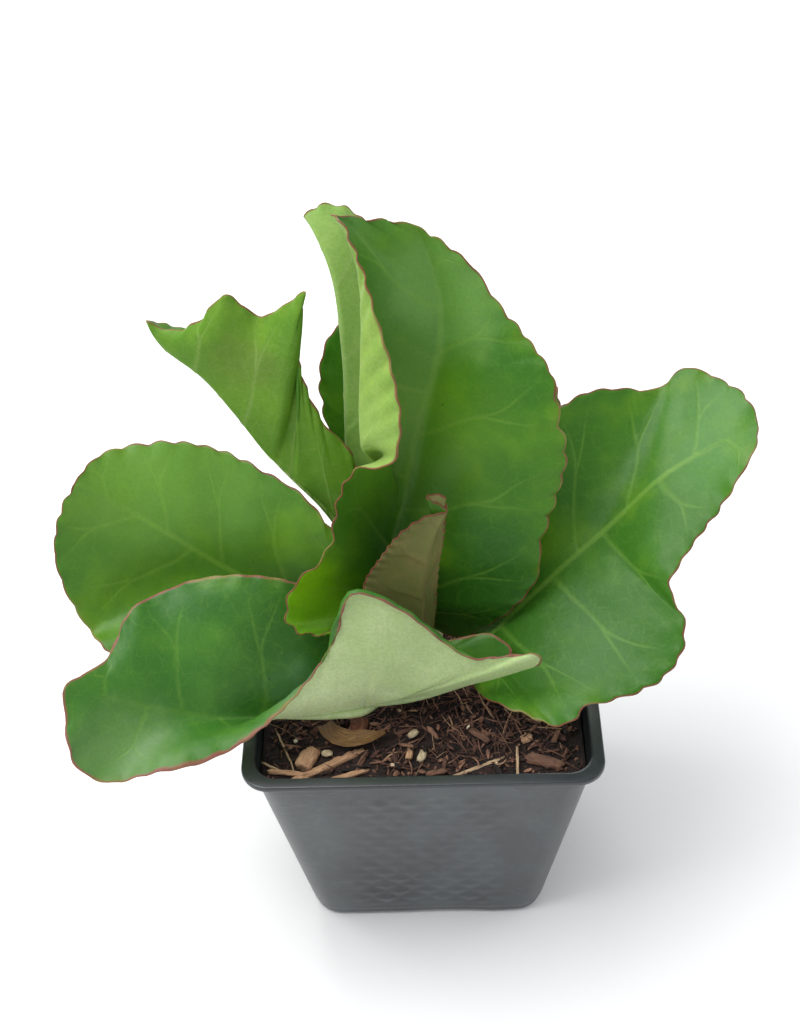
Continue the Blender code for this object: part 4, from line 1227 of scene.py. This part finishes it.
                      under_deep=(0.160, 0.165, 0.050), under_vein=(0.150, 0.115, 0.045), vein_share=0.4,
                      see_through=0.2),
        stalk_scale=0.6, side_veins=5.0, wave=0.2, tooth=0.4, tooth_pitch=3.2, rows=140, columns=24,
    ),
)


@dataclass(frozen=True)
class Square:
    """Outlines round a square with round corners."""

    side_steps: int = 60
    corner_steps: int = 12

    def outline(self, half: float, corner: float) -> tuple[np.ndarray, np.ndarray, np.ndarray]:
        """One outline at height 0.

        Args:
            half: half the width across.
            corner: the corners' radius.

        Returns:
            The places, the ways out, and how far along its side each point is, with the corners as its ends.
        """
        straight = half - corner
        places, ways, alongs = [], [], []
        for side in range(4):
            angle = side * math.pi / 2
            turn = np.array([[math.cos(angle), -math.sin(angle)], [math.sin(angle), math.cos(angle)]])
            for along in np.linspace(-straight, straight, self.side_steps + 1):
                places.append(turn @ (half, along))
                ways.append(turn @ (1.0, 0.0))
                alongs.append(along)
            for corner_step in range(1, self.corner_steps):
                lean = math.pi / 2 * corner_step / self.corner_steps
                way = np.array((math.cos(lean), math.sin(lean)))
                places.append(turn @ (way * corner + straight))
                ways.append(turn @ way)
                alongs.append(straight + corner * lean)
        zero = np.zeros((len(places), 1))
        return np.hstack([places, zero]), np.hstack([ways, zero]), np.array(alongs)


def wall_half(height: float) -> float:
    """Half the outer width of the pot's wall at a height."""
    return FOOT_HALF + (NECK_HALF - FOOT_HALF) * height / (POT_HEIGHT - LIP_HEIGHT)


def corner_radius(height: float) -> float:
    """The corners' outer radius at a height."""
    return FOOT_CORNER + (RIM_CORNER - FOOT_CORNER) * height / POT_HEIGHT


@dataclass(frozen=True)
class NurseryPot:
    """The square pot: quilted walls, a step by each corner, a lip, a rounded foot and drainage holes."""

    diamond: float = 4.5 * MM
    diamond_rise: float = 0.75 * MM
    quilt_low: float = 8.0 * MM
    quilt_high: float = 80.0 * MM
    quilt_half: float = 27.0 * MM
    step_drop: float = 5.4 * MM
    step_out: float = 0.9 * MM
    step_reach: float = 15.0 * MM
    dent: float = 0.6 * MM
    dent_grain: float = 28.0 * MM
    foot_round: float = 1.8 * MM
    foot_line: float = 4.2 * MM
    line_rise: float = 0.25 * MM
    lip_round: float = 0.5 * MM
    mouth_round: float = 0.8 * MM
    round_steps: int = 5
    wall_rows: int = 130
    drain_radius: float = 4.0 * MM
    drain_place: float = 21.0 * MM
    arch_height: float = 0.8 * MM
    arch_half: float = 20.0 * MM

    def build(self) -> bpy.types.Object:
        """Make the pot as one mesh."""
        square = Square()
        edge_at = POT_HEIGHT - LIP_HEIGHT - self.step_drop
        heights = np.linspace(0.0, POT_HEIGHT - LIP_HEIGHT, self.wall_rows)
        heights = np.sort(np.concatenate([heights, edge_at + np.array((0.0, 0.15, 0.35, 0.5)) * MM]))
        rings = [self._wall(square, height) for height in heights]
        rings += [self._plain(square, half, height, corner) for half, height, corner in self._lip()]
        inner_low = FLOOR + 3.0 * MM
        for height in np.linspace(POT_HEIGHT - 1.6 * MM, inner_low, 14):
            rings.append(self._plain(square, wall_half(height) - WALL, height, corner_radius(height) - WALL))
        rings.append(self._plain(square, FOOT_HALF - WALL - 2.0 * MM, FLOOR, FOOT_CORNER - WALL))
        columns = len(rings[0])
        faces = grid_faces(len(rings), columns, closed=True)
        faces.append(tuple(range(columns))[::-1])
        faces.append(tuple(range((len(rings) - 1) * columns, len(rings) * columns)))
        pot = mesh_object("pot_shell", np.concatenate(rings), faces, Finish.PLASTIC.material())
        self._drill(pot)
        return pot

    def _plain(self, square: Square, half: float, height: float, corner: float) -> np.ndarray:
        """A ring without relief."""
        place, _, _ = square.outline(half, corner)
        place[:, 2] = height
        return place

    def _wall(self, square: Square, height: float) -> np.ndarray:
        """A ring of the outer wall, with all of its relief."""
        half, corner = wall_half(height), corner_radius(height)
        under = max(0.0, self.foot_round - height)
        half -= self.foot_round - math.sqrt(max(0.0, self.foot_round**2 - under**2))
        place, way, along = square.outline(half, corner)
        place[:, 2] = height
        straight = half - corner
        out = self._diamonds(along, height)
        past = np.abs(along) - (straight - self.step_reach)
        near_corner = np.clip(past / (0.25 * self.step_reach), 0.0, 1.0)
        edge_at = POT_HEIGHT - LIP_HEIGHT - self.step_drop
        out += self.step_out * near_corner * step(np.array(height), edge_at, edge_at + 0.5 * MM)
        out += self.line_rise * step(np.array(height), self.foot_line, self.foot_line + 0.5 * MM)
        out -= self.line_rise
        middle = np.clip((straight - np.abs(along)) / (9.0 * MM), 0.0, 1.0)
        out += self.dent * rumple(place, self.dent_grain, 2) * middle
        place += way * out[:, None]
        arch = self.arch_height * np.clip(1.0 - (along / self.arch_half) ** 2, 0.0, 1.0)
        place[:, 2] += arch * max(0.0, 1.0 - height / (3.0 * MM))
        return place

    def _diamonds(self, along: np.ndarray, height: float) -> np.ndarray:
        """Low pyramids on diamond bases, fading towards the corners and the ends."""
        rise = height - self.quilt_low
        first = (along + rise) / (2 * self.diamond)
        second = (along - rise) / (2 * self.diamond)
        away = np.maximum(np.abs(first - np.round(first)), np.abs(second - np.round(second)))
        fade = np.clip((self.quilt_half - np.abs(along)) / (2.5 * self.diamond), 0.0, 1.0)
        fade = fade * float(step(np.array(height), self.quilt_low - 2 * MM, self.quilt_low + 4 * MM))
        fade = fade * float(1.0 - step(np.array(height), self.quilt_high - 4 * MM, self.quilt_high + 1 * MM))
        fade = fade * (0.45 + 0.55 * abs(2.0 * height / POT_HEIGHT - 1.0))
        return self.diamond_rise * (1.0 - 2.0 * away) * fade

    def _lip(self) -> list[tuple[float, float, float]]:
        """Half width, height and corner radius of each ring of the lip, up its outside and down the mouth."""
        low = POT_HEIGHT - LIP_HEIGHT
        rings = [(NECK_HALF + 0.3 * MM, low, RIM_CORNER)]
        soft, mouth = self.lip_round, self.mouth_round
        leans = [90.0 / self.round_steps * index for index in range(self.round_steps + 1)]
        for centre_height, start in ((low + soft, -90.0), (POT_HEIGHT - soft, 0.0)):
            for lean in leans:
                angle = math.radians(start + lean)
                reach = RIM_HALF - soft + soft * math.cos(angle)
                rings.append((reach, centre_height + soft * math.sin(angle), RIM_CORNER - RIM_HALF + reach))
        inner = NECK_HALF - WALL
        for lean in leans:
            angle = math.radians(90.0 + lean)
            reach = inner + mouth + mouth * math.cos(angle)
            rings.append((reach, POT_HEIGHT - mouth + mouth * math.sin(angle), RIM_CORNER - WALL))
        return rings

    def _drill(self, pot: bpy.types.Object) -> None:
        """Cut the four drainage holes."""
        bm = bmesh.new()
        for x in (-self.drain_place, self.drain_place):
            for y in (-self.drain_place, self.drain_place):
                bmesh.ops.create_cone(bm, cap_ends=True, segments=48, radius1=self.drain_radius,
                                      radius2=self.drain_radius, depth=4 * FLOOR,
                                      matrix=Matrix.Translation((x, y, 0.0)))
        mesh = bpy.data.meshes.new("drains")
        bm.to_mesh(mesh)
        bm.free()
        tool = bpy.data.objects.new("drains", mesh)
        bpy.context.scene.collection.objects.link(tool)
        cut = pot.modifiers.new("Drains", "BOOLEAN")
        cut.operation = "DIFFERENCE"
        cut.solver = "EXACT"
        cut.object = tool
        applied(pot)
        bpy.data.objects.remove(tool)


@dataclass(frozen=True)
class Stick:
    """A loose splinter, straw or chip, in millimetres. The size is its length, width and thickness.

    spot is where its middle lies, degrees its turn, bottom its height, and seed draws its own unevenness.
    """

    name: str
    finish: Finish
    spot: tuple[float, float]
    degrees: float
    size: Point
    seed: int
    bottom: float = 83.3
    ridges: int = 0
    sections: int = 30
    sides: int = 16
    clearance: float = 0.6
    rumple_grain: float = 1.5
    rumple_share: float = 0.30

    def covers(self, places: np.ndarray) -> np.ndarray:
        """Whether each place in millimetres is under the piece or next to it."""
        angle = math.radians(self.degrees)
        off = places - self.spot
        along = off @ (math.cos(angle), math.sin(angle))
        across = off @ (-math.sin(angle), math.cos(angle))
        half_length, half_width = self.size[0] / 2 + self.clearance, self.size[1] / 2 + self.clearance
        return (np.abs(along) < half_length) & (np.abs(across) < half_width)

    def build(self) -> bpy.types.Object:
        """Make the piece where it lies."""
        draw = random.Random(self.seed)
        length, width, thick = self.size
        ends = [draw.uniform(0.0, 2 * math.pi) for _ in range(4)]
        points, lengthwise, around = [], [], []
        for section in range(self.sections + 1):
            share = section / self.sections
            taper = float(np.interp(share, (0.0, 0.05, 0.6, 0.94, 1.0), (0.62, 0.92, 1.0, 0.84, 0.55)))
            for side in range(self.sides):
                angle = 2 * math.pi * side / self.sides
                rough = 0.06 * math.sin(3 * angle + ends[0] + 5 * share)
                rough += 0.05 * math.sin(7 * angle + ends[1])
                ridge = 0.07 * math.cos(self.ridges * angle) if self.ridges else 0.0
                square = max(abs(math.cos(angle)), abs(math.sin(angle))) ** -0.55
                size = taper * (square + rough + ridge) / 2
                jag = 0.05 * math.sin(3 * angle + ends[2]) + 0.03 * math.sin(5 * angle + ends[3])
                jag *= abs(2 * share - 1) ** 6
                points.append(((share - 0.5 + jag) * length, size * width * math.cos(angle),
                               size * thick * math.sin(angle) + thick / 2))
                lengthwise.append(share * length)
                around.append(angle / (2 * math.pi) * (width + thick) * 2)
        faces = [face[::-1] for face in grid_faces(self.sections + 1, self.sides, closed=True)]
        faces.append(tuple(range(self.sides)))
        last = self.sections * self.sides
        faces.append(tuple(range(last, last + self.sides))[::-1])
        turn = Matrix.Rotation(math.radians(self.degrees), 3, "Z")
        placed = np.array(points) @ np.array(turn).T + (*self.spot, self.bottom)
        coarse = rumple(placed, self.rumple_grain, 2, float(self.seed))
        spread = placed - (*self.spot, self.bottom + thick / 2)
        placed = placed + spread * (self.rumple_share * coarse)[:, None] * (0.25, 0.8, 0.8)
        marks = {"lengthwise": lengthwise, "round": around}
        return mesh_object(self.name + "_wood", placed * MM, faces, self.finish.material(), marks)


LOOSE = (
    Stick("bark_chip", Finish.STRIPED_BARK, (-19.3, -27.0), 80.0, (7.0, 5.5, 3.4), 1, ridges=9, sides=48),
    Stick("splinter_long", Finish.SPLIT_WOOD, (-28.5, -41.0), 29.0, (24.0, 2.6, 1.8), 2),
    Stick("splinter_short", Finish.SPLIT_WOOD, (-24.0, -45.0), 18.0, (16.0, 1.8, 1.4), 3),
    Stick("straw", Finish.STRAW, (15.5, -42.5), 24.0, (17.0, 1.2, 1.0), 4),
    Stick("brown_chip", Finish.BROWN_BARK, (36.0, -41.0), -20.0, (11.0, 4.0, 2.0), 5),
)
ROOTED = (
    Stick("mix_chip_tan", Finish.SPLIT_WOOD, (-34.0, -38.5), 65.0, (8.0, 5.4, 2.6), 6, 83.9),
    Stick("mix_chip_square", Finish.SPLIT_WOOD, (31.0, -32.5), 20.0, (3.4, 2.8, 1.3), 7, 84.2),
    Stick("mix_straw_upright", Finish.STRAW, (27.8, -41.0), 88.0, (12.0, 0.9, 0.8), 8, 84.4),
    Stick("mix_straw_left", Finish.STRAW, (-41.0, -35.0), 112.0, (15.0, 0.6, 0.5), 9, 84.6),
    Stick("mix_straw_corner", Finish.STRAW, (-43.5, -42.0), 150.0, (9.0, 0.7, 0.6), 10, 84.6),
    Stick("mix_sliver", Finish.SPLIT_WOOD, (-40.0, -43.5), -8.0, (11.0, 1.6, 1.2), 11, 84.2),
    Stick("mix_grain_left", Finish.GRIT, (-28.4, -36.8), 0.0, (3.2, 2.2, 1.6), 12, 84.3,
          sides=7, sections=4),
    Stick("mix_grain_middle", Finish.GRIT, (-2.9, -30.0), 40.0, (3.6, 2.4, 1.8), 13, 84.1,
          sides=6, sections=4),
    Stick("mix_grain_front", Finish.GRIT, (-0.3, -38.5), 70.0, (4.2, 2.6, 1.9), 14, 84.1,
          sides=7, sections=5),
    Stick("mix_chip_orange", Finish.SPLIT_WOOD, (-4.0, -38.2), 80.0, (3.4, 2.0, 1.8), 15, 84.4),
    Stick("mix_chip_cross", Finish.BROWN_BARK, (17.0, -31.0), -40.0, (7.0, 2.2, 1.0), 16, 84.3),
    Stick("mix_chip_far", Finish.BROWN_BARK, (4.0, -44.5), 10.0, (6.0, 1.8, 1.0), 17, 84.3),
)


@dataclass(frozen=True)
class DeadSheath:
    """The curled amber base of an old leaf, a cupped strip along a bent path, in millimetres."""

    path: tuple[Point, ...] = (
        (-11.0, -31.0, 87.4), (-16.5, -33.4, 88.0), (-23.5, -33.4, 87.6), (-29.5, -27.0, 86.6))
    widths: Point = (0.5, 2.9, 3.3, 2.4)
    thick: float = 0.8
    cup: float = 1.1
    rumple_rise: float = 0.35
    rumple_grain: float = 4.0
    clearance: float = 2.6
    rows: int = 70
    columns: int = 18

    def covers(self, places: np.ndarray) -> np.ndarray:
        """Whether each place in millimetres is under the strip."""
        path = smooth_path(list(self.path), 24)[:, :2]
        return np.linalg.norm(places[:, None] - path[None], axis=2).min(axis=1) < self.clearance

    def build(self) -> bpy.types.Object:
        """Make the strip."""
        path = smooth_path(list(self.path), self.rows)
        shares = np.linspace(0.0, len(self.widths) - 1, self.rows)
        width = np.interp(shares, range(len(self.widths)), self.widths)
        ahead = np.gradient(path, axis=0)
        across = unit(np.stack([-ahead[:, 1], ahead[:, 0], np.zeros(self.rows)], axis=1))
        span = np.linspace(-1.0, 1.0, self.columns)
        grid = path[:, None] + across[:, None] * (width[:, None] * span)[..., None]
        grid[..., 2] += self.cup * (span**2 - 0.5)
        grid[..., 2] += self.rumple_rise * rumple(grid * MM, self.rumple_grain * MM, 2)
        half = self.thick / 2 * (1.0 - 0.6 * span**4)
        upper, lower = grid.copy(), grid.copy()
        upper[..., 2] += half
        lower[..., 2] -= half
        count = self.rows * self.columns
        faces = [face[::-1] for face in grid_faces(self.rows, self.columns)]
        faces += grid_faces(self.rows, self.columns, count)
        faces += self._rim(count)
        points = np.concatenate([upper.reshape(-1, 3), lower.reshape(-1, 3)]) * MM
        lengthwise = np.broadcast_to(arc(path)[:, None], grid.shape[:2]).ravel()
        around = np.broadcast_to(span * 3.0, grid.shape[:2]).ravel()
        marks = {"lengthwise": np.tile(lengthwise, 2), "round": np.tile(around, 2)}
        return mesh_object("dead_sheath_strip", points, faces, Finish.SHEATH.material(), marks)

    def _rim(self, count: int) -> list[tuple[int, ...]]:
        """The faces between the upper and lower sheets, all round."""
        rows, columns = self.rows, self.columns
        loop = list(range(columns))
        loop += [i * columns + columns - 1 for i in range(1, rows)]
        loop += [(rows - 1) * columns + j for j in range(columns - 2, -1, -1)]
        loop += [i * columns for i in range(rows - 2, 0, -1)]
        return [(a, b, b + count, a + count) for a, b in zip(loop, loop[1:] + loop[:1])]


@dataclass(frozen=True)
class Litter:
    """A kind of bit that lies scattered on the mix.

    small and large are the least and greatest length, width and thickness, in millimetres. tilt is in
    radians, lift is the middles' height above the ground, and field is half the width that the bits lie on.
    """

    name: str
    finish: Finish
    count: float
    small: Point
    large: Point
    tilt: float
    lift: float
    seed: int
    field: float
    shapes: int
    bend: float = 0.0
    sides: int = 7
    sections: int = 4
    crown_clear: float = 8.0
    brink: float = 2.0

    def build(self, ground: bpy.types.Object) -> bpy.types.Object:
        """Scatter the bits over the top of the mix and make them one mesh."""
        draw = random.Random(self.seed)
        shelf = bpy.data.collections.new(self.name + "_shapes")
        bpy.context.scene.collection.children.link(shelf)
        for number in range(self.shapes):
            shape = self._shape(f"{self.name}_{number}", draw)
            bpy.context.scene.collection.objects.unlink(shape)
            shelf.objects.link(shape)
        field = self._field(ground)
        density = self.count / (2 * self.field * MM) ** 2
        self._recipe().run(field, Shapes=shelf, Density=density, Seed=self.seed, Smallest=self.small,
                           Largest=self.large, Tilt=self.tilt, Lift=self.lift * MM)
        for shape in list(shelf.objects):
            bpy.data.objects.remove(shape)
        bpy.data.collections.remove(shelf)
        return field

    def _shape(self, name: str, draw: random.Random) -> bpy.types.Object:
        """An uneven bit one millimetre long, wide and thick, made as rings along its length."""
        points = []
        bow = draw.uniform(-1.0, 1.0) * self.bend
        for section in range(self.sections + 1):
            along = section / self.sections - 0.5
            blunt = math.sqrt(max(0.02, 1.0 - (1.9 * along) ** 4)) * draw.uniform(0.75, 1.0)
            for side in range(self.sides):
                angle = 2 * math.pi * side / self.sides
                size = 0.5 * blunt * draw.uniform(0.7, 1.1)
                sag = bow * (4 * along * along - 0.5)
                points.append((along + draw.uniform(-0.05, 0.05), size * math.cos(angle) + sag,
                               size * math.sin(angle)))
        faces = [face[::-1] for face in grid_faces(self.sections + 1, self.sides, closed=True)]
        faces.append(tuple(range(self.sides)))
        last = self.sections * self.sides
        faces.append(tuple(range(last, last + self.sides))[::-1])
        return mesh_object(name, np.array(points) * MM, faces, self.finish.material())

    def _field(self, ground: bpy.types.Object) -> bpy.types.Object:
        """The part of the mix's top that the bits lie on: inside the wall and clear of the crown."""
        bm = bmesh.new()
        bm.from_mesh(ground.data)
        faces = list(bm.faces)
        middles = np.array([face.calc_center_median() for face in faces]) * PER_MM
        flat = middles[:, :2]
        away = (middles[:, 2] < SOIL_TOP * PER_MM - self.brink) | (np.abs(flat).max(axis=1) > self.field)
        away |= np.linalg.norm(flat - np.array(CROWN_AT[:2]) * PER_MM, axis=1) < self.crown_clear
        for piece in (*LOOSE, *ROOTED, DeadSheath()):
            away |= piece.covers(flat)
        bmesh.ops.delete(bm, geom=[face for face, gone in zip(faces, away) if gone], context="FACES")
        mesh = bpy.data.meshes.new(self.name)
        bm.to_mesh(mesh)
        bm.free()
        field = bpy.data.objects.new(self.name, mesh)
        bpy.context.scene.collection.objects.link(field)
        return field

    def _recipe(self) -> Recipe:
        """The tree that scatters shapes over faces, each turned, tilted, stretched and toned at random."""
        recipe = Recipe(self.name + "_scatter")
        kinds = {"Shapes": "Collection", "Density": "Float", "Seed": "Int", "Smallest": "Vector",
                 "Largest": "Vector", "Tilt": "Float", "Lift": "Float"}
        for name, kind in kinds.items():
            recipe.input(name, "NodeSocket" + kind)
        seed, tilt = recipe.given("Seed"), recipe.given("Tilt")
        points = recipe.node("GeometryNodeDistributePointsOnFaces", {"distribute_method": "RANDOM"}, {
            "Mesh": recipe.given("Geometry"), "Density": recipe.given("Density"), "Seed": seed})
        up = recipe.node("ShaderNodeCombineXYZ", None, {"Z": recipe.given("Lift")})
        points = recipe.node("GeometryNodeSetPosition", None, {"Geometry": points, "Offset": up})
        shapes = recipe.node("GeometryNodeCollectionInfo", None, {
            "Collection": recipe.given("Shapes"), "Separate Children": True, "Reset Children": True})
        low = recipe.node("ShaderNodeCombineXYZ", None, {"X": 0.0 - tilt, "Y": 0.0 - tilt, "Z": 0.0})
        high = recipe.node("ShaderNodeCombineXYZ", None, {"X": tilt, "Y": tilt, "Z": 2 * math.pi})
        turn = recipe.node("FunctionNodeRandomValue", {"data_type": "FLOAT_VECTOR"}, {
            "Min": low, "Max": high, "Seed": seed})
        size = recipe.node("FunctionNodeRandomValue", {"data_type": "FLOAT_VECTOR"}, {
            "Min": recipe.given("Smallest"), "Max": recipe.given("Largest"), "Seed": seed + 1.0})
        bits = recipe.node("GeometryNodeInstanceOnPoints", None, {
            "Points": points, "Instance": shapes, "Pick Instance": True, "Rotation": turn, "Scale": size})
        tone = recipe.node("FunctionNodeRandomValue", {"data_type": "FLOAT"}, {"Seed": seed + 2.0}, out=1)
        bits = recipe.node("GeometryNodeStoreNamedAttribute", {"data_type": "FLOAT", "domain": "INSTANCE"}, {
            "Geometry": bits, "Name": "tone", "Value": tone})
        recipe.finish(bits, (self.finish.material(), None))
        return recipe


@dataclass(frozen=True)
class PottingMix:
    """The mix in the pot: an uneven ground, with crumbs, bark flakes, fibres and a few pale grains on it."""

    rings: int = 64
    relief: float = 0.7 * MM
    hill_grain: float = 9.0 * MM
    lump_grain: float = 2.2 * MM
    gap: float = 0.6 * MM
    # a low tone keeps the ground near black: the mix's dark colour and painted shade between the bits
    tone: float = 0.42
    litter: tuple[Litter, ...] = (
        Litter("mix_crumbs", Finish.CRUMB, count=3600, small=(0.6, 0.5, 0.4), large=(2.0, 1.5, 1.2), tilt=0.9,
               lift=0.20, seed=3, field=46.5, shapes=4, sides=5, sections=2),
        Litter("mix_flakes", Finish.FLAKE, count=1050, small=(1.6, 0.5, 0.3), large=(7.0, 2.1, 0.9), tilt=0.7,
               lift=0.7, seed=11, field=44.5, shapes=9, sides=6),
        Litter("mix_fibres", Finish.FIBRE, count=760, small=(2.5, 0.18, 0.16), large=(11.0, 0.7, 0.5),
               tilt=0.5, lift=1.1, seed=23, field=43.0, shapes=9, bend=0.9, sides=5, sections=6),
        Litter("mix_grains", Finish.PERLITE, count=14, small=(1.1, 0.9, 0.8), large=(2.2, 1.8, 1.4), tilt=1.0,
               lift=0.9, seed=37, field=44.0, shapes=4),
    )

    def build(self) -> list[bpy.types.Object]:
        """Make the ground and what lies on it."""
        ground = self._ground()
        return [ground] + [litter.build(ground) for litter in self.litter] + [bit.build() for bit in ROOTED]

    def _ground(self) -> bpy.types.Object:
        """The solid body of the mix, with its uneven top."""
        square = Square(40, 8)
        rings = []
        floor = FLOOR + 0.3 * MM
        for height, half in ((floor, FOOT_HALF - WALL - 2.0 * MM), (FLOOR + 3.3 * MM, None),
                             (SOIL_TOP - 3.0 * MM, None)):
            half = (half or wall_half(height) - WALL) - self.gap
            place, _, _ = square.outline(half, corner_radius(height) - WALL)
            place[:, 2] = height
            rings.append(place)
        top_half = wall_half(SOIL_TOP) - WALL - self.gap
        outline, _, _ = square.outline(top_half, corner_radius(SOIL_TOP) - WALL)
        for index in range(self.rings):
            place = outline * (1.0 - index / self.rings)
            place[:, 2] = SOIL_TOP
            flat = place.copy()
            uneven = rumple(flat, self.hill_grain, 3) + 0.5 * rumple(flat, self.lump_grain, 2, 5.0)
            place[:, 2] += self.relief * (uneven - 0.5)
            rings.append(place)
        columns = len(outline)
        faces = grid_faces(len(rings), columns, closed=True)
        faces.append(tuple(range(columns))[::-1])
        middle = len(rings) * columns
        last = middle - columns
        faces += [(last + i, last + (i + 1) % columns, middle) for i in range(columns)]
        points = np.concatenate(rings + [np.array([[0.0, 0.0, SOIL_TOP]])])
        tone = np.full(len(points), self.tone)
        return mesh_object("mix_ground", points, faces, Finish.MIX.material(), {"tone": tone})


@dataclass(frozen=True)
class Crown:
    """The short rhizome, ringed with the scars of old leaves."""

    radius: float = 7.0 * MM
    bottom: float = 62.0 * MM
    top: float = 95.0 * MM
    rings: int = 60
    sides: int = 56
    scar: float = 4.1 * MM
    scar_rise: float = 0.06
    root_taper: float = 0.35
    dome_share: float = 0.2
    heel_share: float = 0.1
    unevenness: float = 0.08

    def build(self) -> bpy.types.Object:
        """Make the rhizome."""
        rows = []
        angles = np.linspace(0.0, 2 * np.pi, self.sides, endpoint=False)
        for index in range(self.rings):
            share = index / (self.rings - 1)
            height = self.bottom + (self.top - self.bottom) * share
            taper = 1.0 - self.root_taper * (1.0 - share) ** 3
            dome = self._closing((share - (1.0 - self.dome_share)) / self.dome_share)
            heel = self._closing((self.heel_share - share) / self.heel_share)
            ring = 1.0 + self.scar_rise * math.sin(2 * math.pi * (height / self.scar))
            flat = np.stack([np.cos(angles), np.sin(angles), np.zeros(self.sides)], axis=1)
            place = flat * self.radius * taper * dome * heel * ring
            place[:, 2] = height
            uneven = 1.0 + self.unevenness * rumple(place, 3.0 * MM, 3, 2.0)
            rows.append(place * np.stack([uneven, uneven, np.ones(self.sides)], axis=1) + CROWN_AT)
        faces = grid_faces(self.rings, self.sides, closed=True)
        points = np.concatenate(rows)
        tone = np.full(len(points), 0.5)
        return mesh_object("crown_rhizome", points, faces, Finish.CROWN.material(), {"tone": tone})

    @staticmethod
    def _closing(share: float) -> float:
        """The radius of a round end: 1 before it starts at 0, and 0 from its tip at 1."""
        return math.sqrt(1.0 - max(0.0, share) ** 2) if share < 1.0 else 0.0


@dataclass(frozen=True)
class Lamp:
    """A soft square lamp that looks at the plant: its place in metres, its width, and its power in watts."""

    name: str
    place: Point
    width: float
    power: float

    def build(self, aim: Vector) -> None:
        """Hang the lamp and turn it to the plant."""
        lamp = bpy.data.lights.new(self.name, "AREA")
        lamp.size = self.width
        lamp.energy = self.power
        made = bpy.data.objects.new(self.name, lamp)
        bpy.context.scene.collection.objects.link(made)
        made.location = self.place
        made.rotation_euler = (aim - Vector(self.place)).to_track_quat("-Z", "Y").to_euler()


@dataclass(frozen=True)
class Studio:
    """The pale floor, the soft lights, and the camera at the photograph's place."""

    eye: Point = (5.2 * MM, -331.5 * MM, 461.0 * MM)
    yaw: float = -1.7
    pitch: float = 43.33
    roll: float = -2.59
    focal_pixels: float = 1593.0
    long_side_pixels: float = 1024.0
    sensor: float = 36.0
    surround: float = 1.0
    low_glow: Colour = (0.98, 0.99, 1.0)
    overhead: Colour = (0.46, 0.48, 0.50)
    floor_half: float = 3.0
    floor_drop: float = 0.2 * MM
    aim: Point = (0.0, 0.0, 0.12)
    lamps: tuple[Lamp, ...] = (
        Lamp("key", (-0.40, -0.02, 0.95), 0.8, 11.0),
        Lamp("side", (0.75, 0.15, 0.60), 0.5, 0.8),
        Lamp("back", (-0.15, 0.85, 0.60), 0.6, 4.0),
    )

    def build(self) -> None:
        """Make the whole studio."""
        self._floor()
        self._camera()
        self._world()
        for lamp in self.lamps:
            lamp.build(Vector(self.aim))
        view = bpy.context.scene.view_settings
        view.view_transform = "Standard"
        view.look = "None"

    def _camera(self) -> None:
        """Put the camera where the photograph was taken from."""
        yaw, pitch, roll = (math.radians(angle) for angle in (self.yaw, self.pitch, self.roll))
        ahead = Vector((math.sin(yaw) * math.cos(pitch), math.cos(yaw) * math.cos(pitch), -math.sin(pitch)))
        right = Vector((math.cos(yaw), -math.sin(yaw), 0.0))
        up = right.cross(ahead)
        right, up = right * math.cos(roll) + up * math.sin(roll), up * math.cos(roll) - right * math.sin(roll)
        camera = bpy.data.objects.new("camera", bpy.data.cameras.new("camera"))
        bpy.context.scene.collection.objects.link(camera)
        turn = Matrix((right, up, -ahead)).transposed().to_4x4()
        camera.matrix_world = Matrix.Translation(self.eye) @ turn
        camera.data.sensor_width = self.sensor
        camera.data.lens = self.focal_pixels / self.long_side_pixels * self.sensor
        camera.data.clip_start = 0.01
        bpy.context.scene.camera = camera

    def _floor(self) -> None:
        """A plain pale sheet under the pot."""
        half, drop = self.floor_half, -self.floor_drop
        corners = np.array([(-half, -half, drop), (half, -half, drop), (half, half, drop), (-half, half, drop)])
        skin = Skin("floor_paper")
        grain = skin.cloud(90.0, 2.0)
        skin.set(Base_Color=skin.mix(grain, (0.86, 0.86, 0.86), (0.90, 0.90, 0.90)), Roughness=0.9)
        mesh_object("floor", corners, [(0, 1, 2, 3)], skin.material)

    def _world(self) -> None:
        """A white surround, brightest low down, where the backdrop would be."""
        world = bpy.data.worlds.new("surround")
        bpy.context.scene.world = world
        world.use_nodes = True
        graph = Graph(world.node_tree)
        way = graph.node("ShaderNodeTexCoord", out="Generated")
        height = graph.node("ShaderNodeSeparateXYZ", None, {"Vector": way}, out="Z")
        colour = graph.mix(height.rise(0.05, 0.85), self.low_glow, self.overhead)
        light = graph.node("ShaderNodeBackground", None, {"Color": colour, "Strength": self.surround})
        graph.add("ShaderNodeOutputWorld", None, {"Surface": light})


def stand_in(piece: bpy.types.Object, node: str) -> None:
    """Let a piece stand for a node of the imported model."""
    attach(piece, BODY)
    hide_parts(node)
    log.info("%s stands for %s: %d faces", piece.name, node, len(piece.data.polygons))


def main() -> None:
    """Build every piece in order."""
    logging.basicConfig(level=logging.INFO)
    Studio().build()
    stand_in(NurseryPot().build(), "pot")
    for piece in PottingMix().build():
        stand_in(piece, "soil")
    stand_in(Crown().build(), "crown")
    for leaf in LEAVES:
        piece = leaf.build()
        piece.name = leaf.name + "_blade"
        stand_in(piece, leaf.name)
    stand_in(DeadSheath().build(), "dead_sheath")
    for stick in LOOSE:
        stand_in(stick.build(), stick.name)


if __name__ == "__main__":
    main()
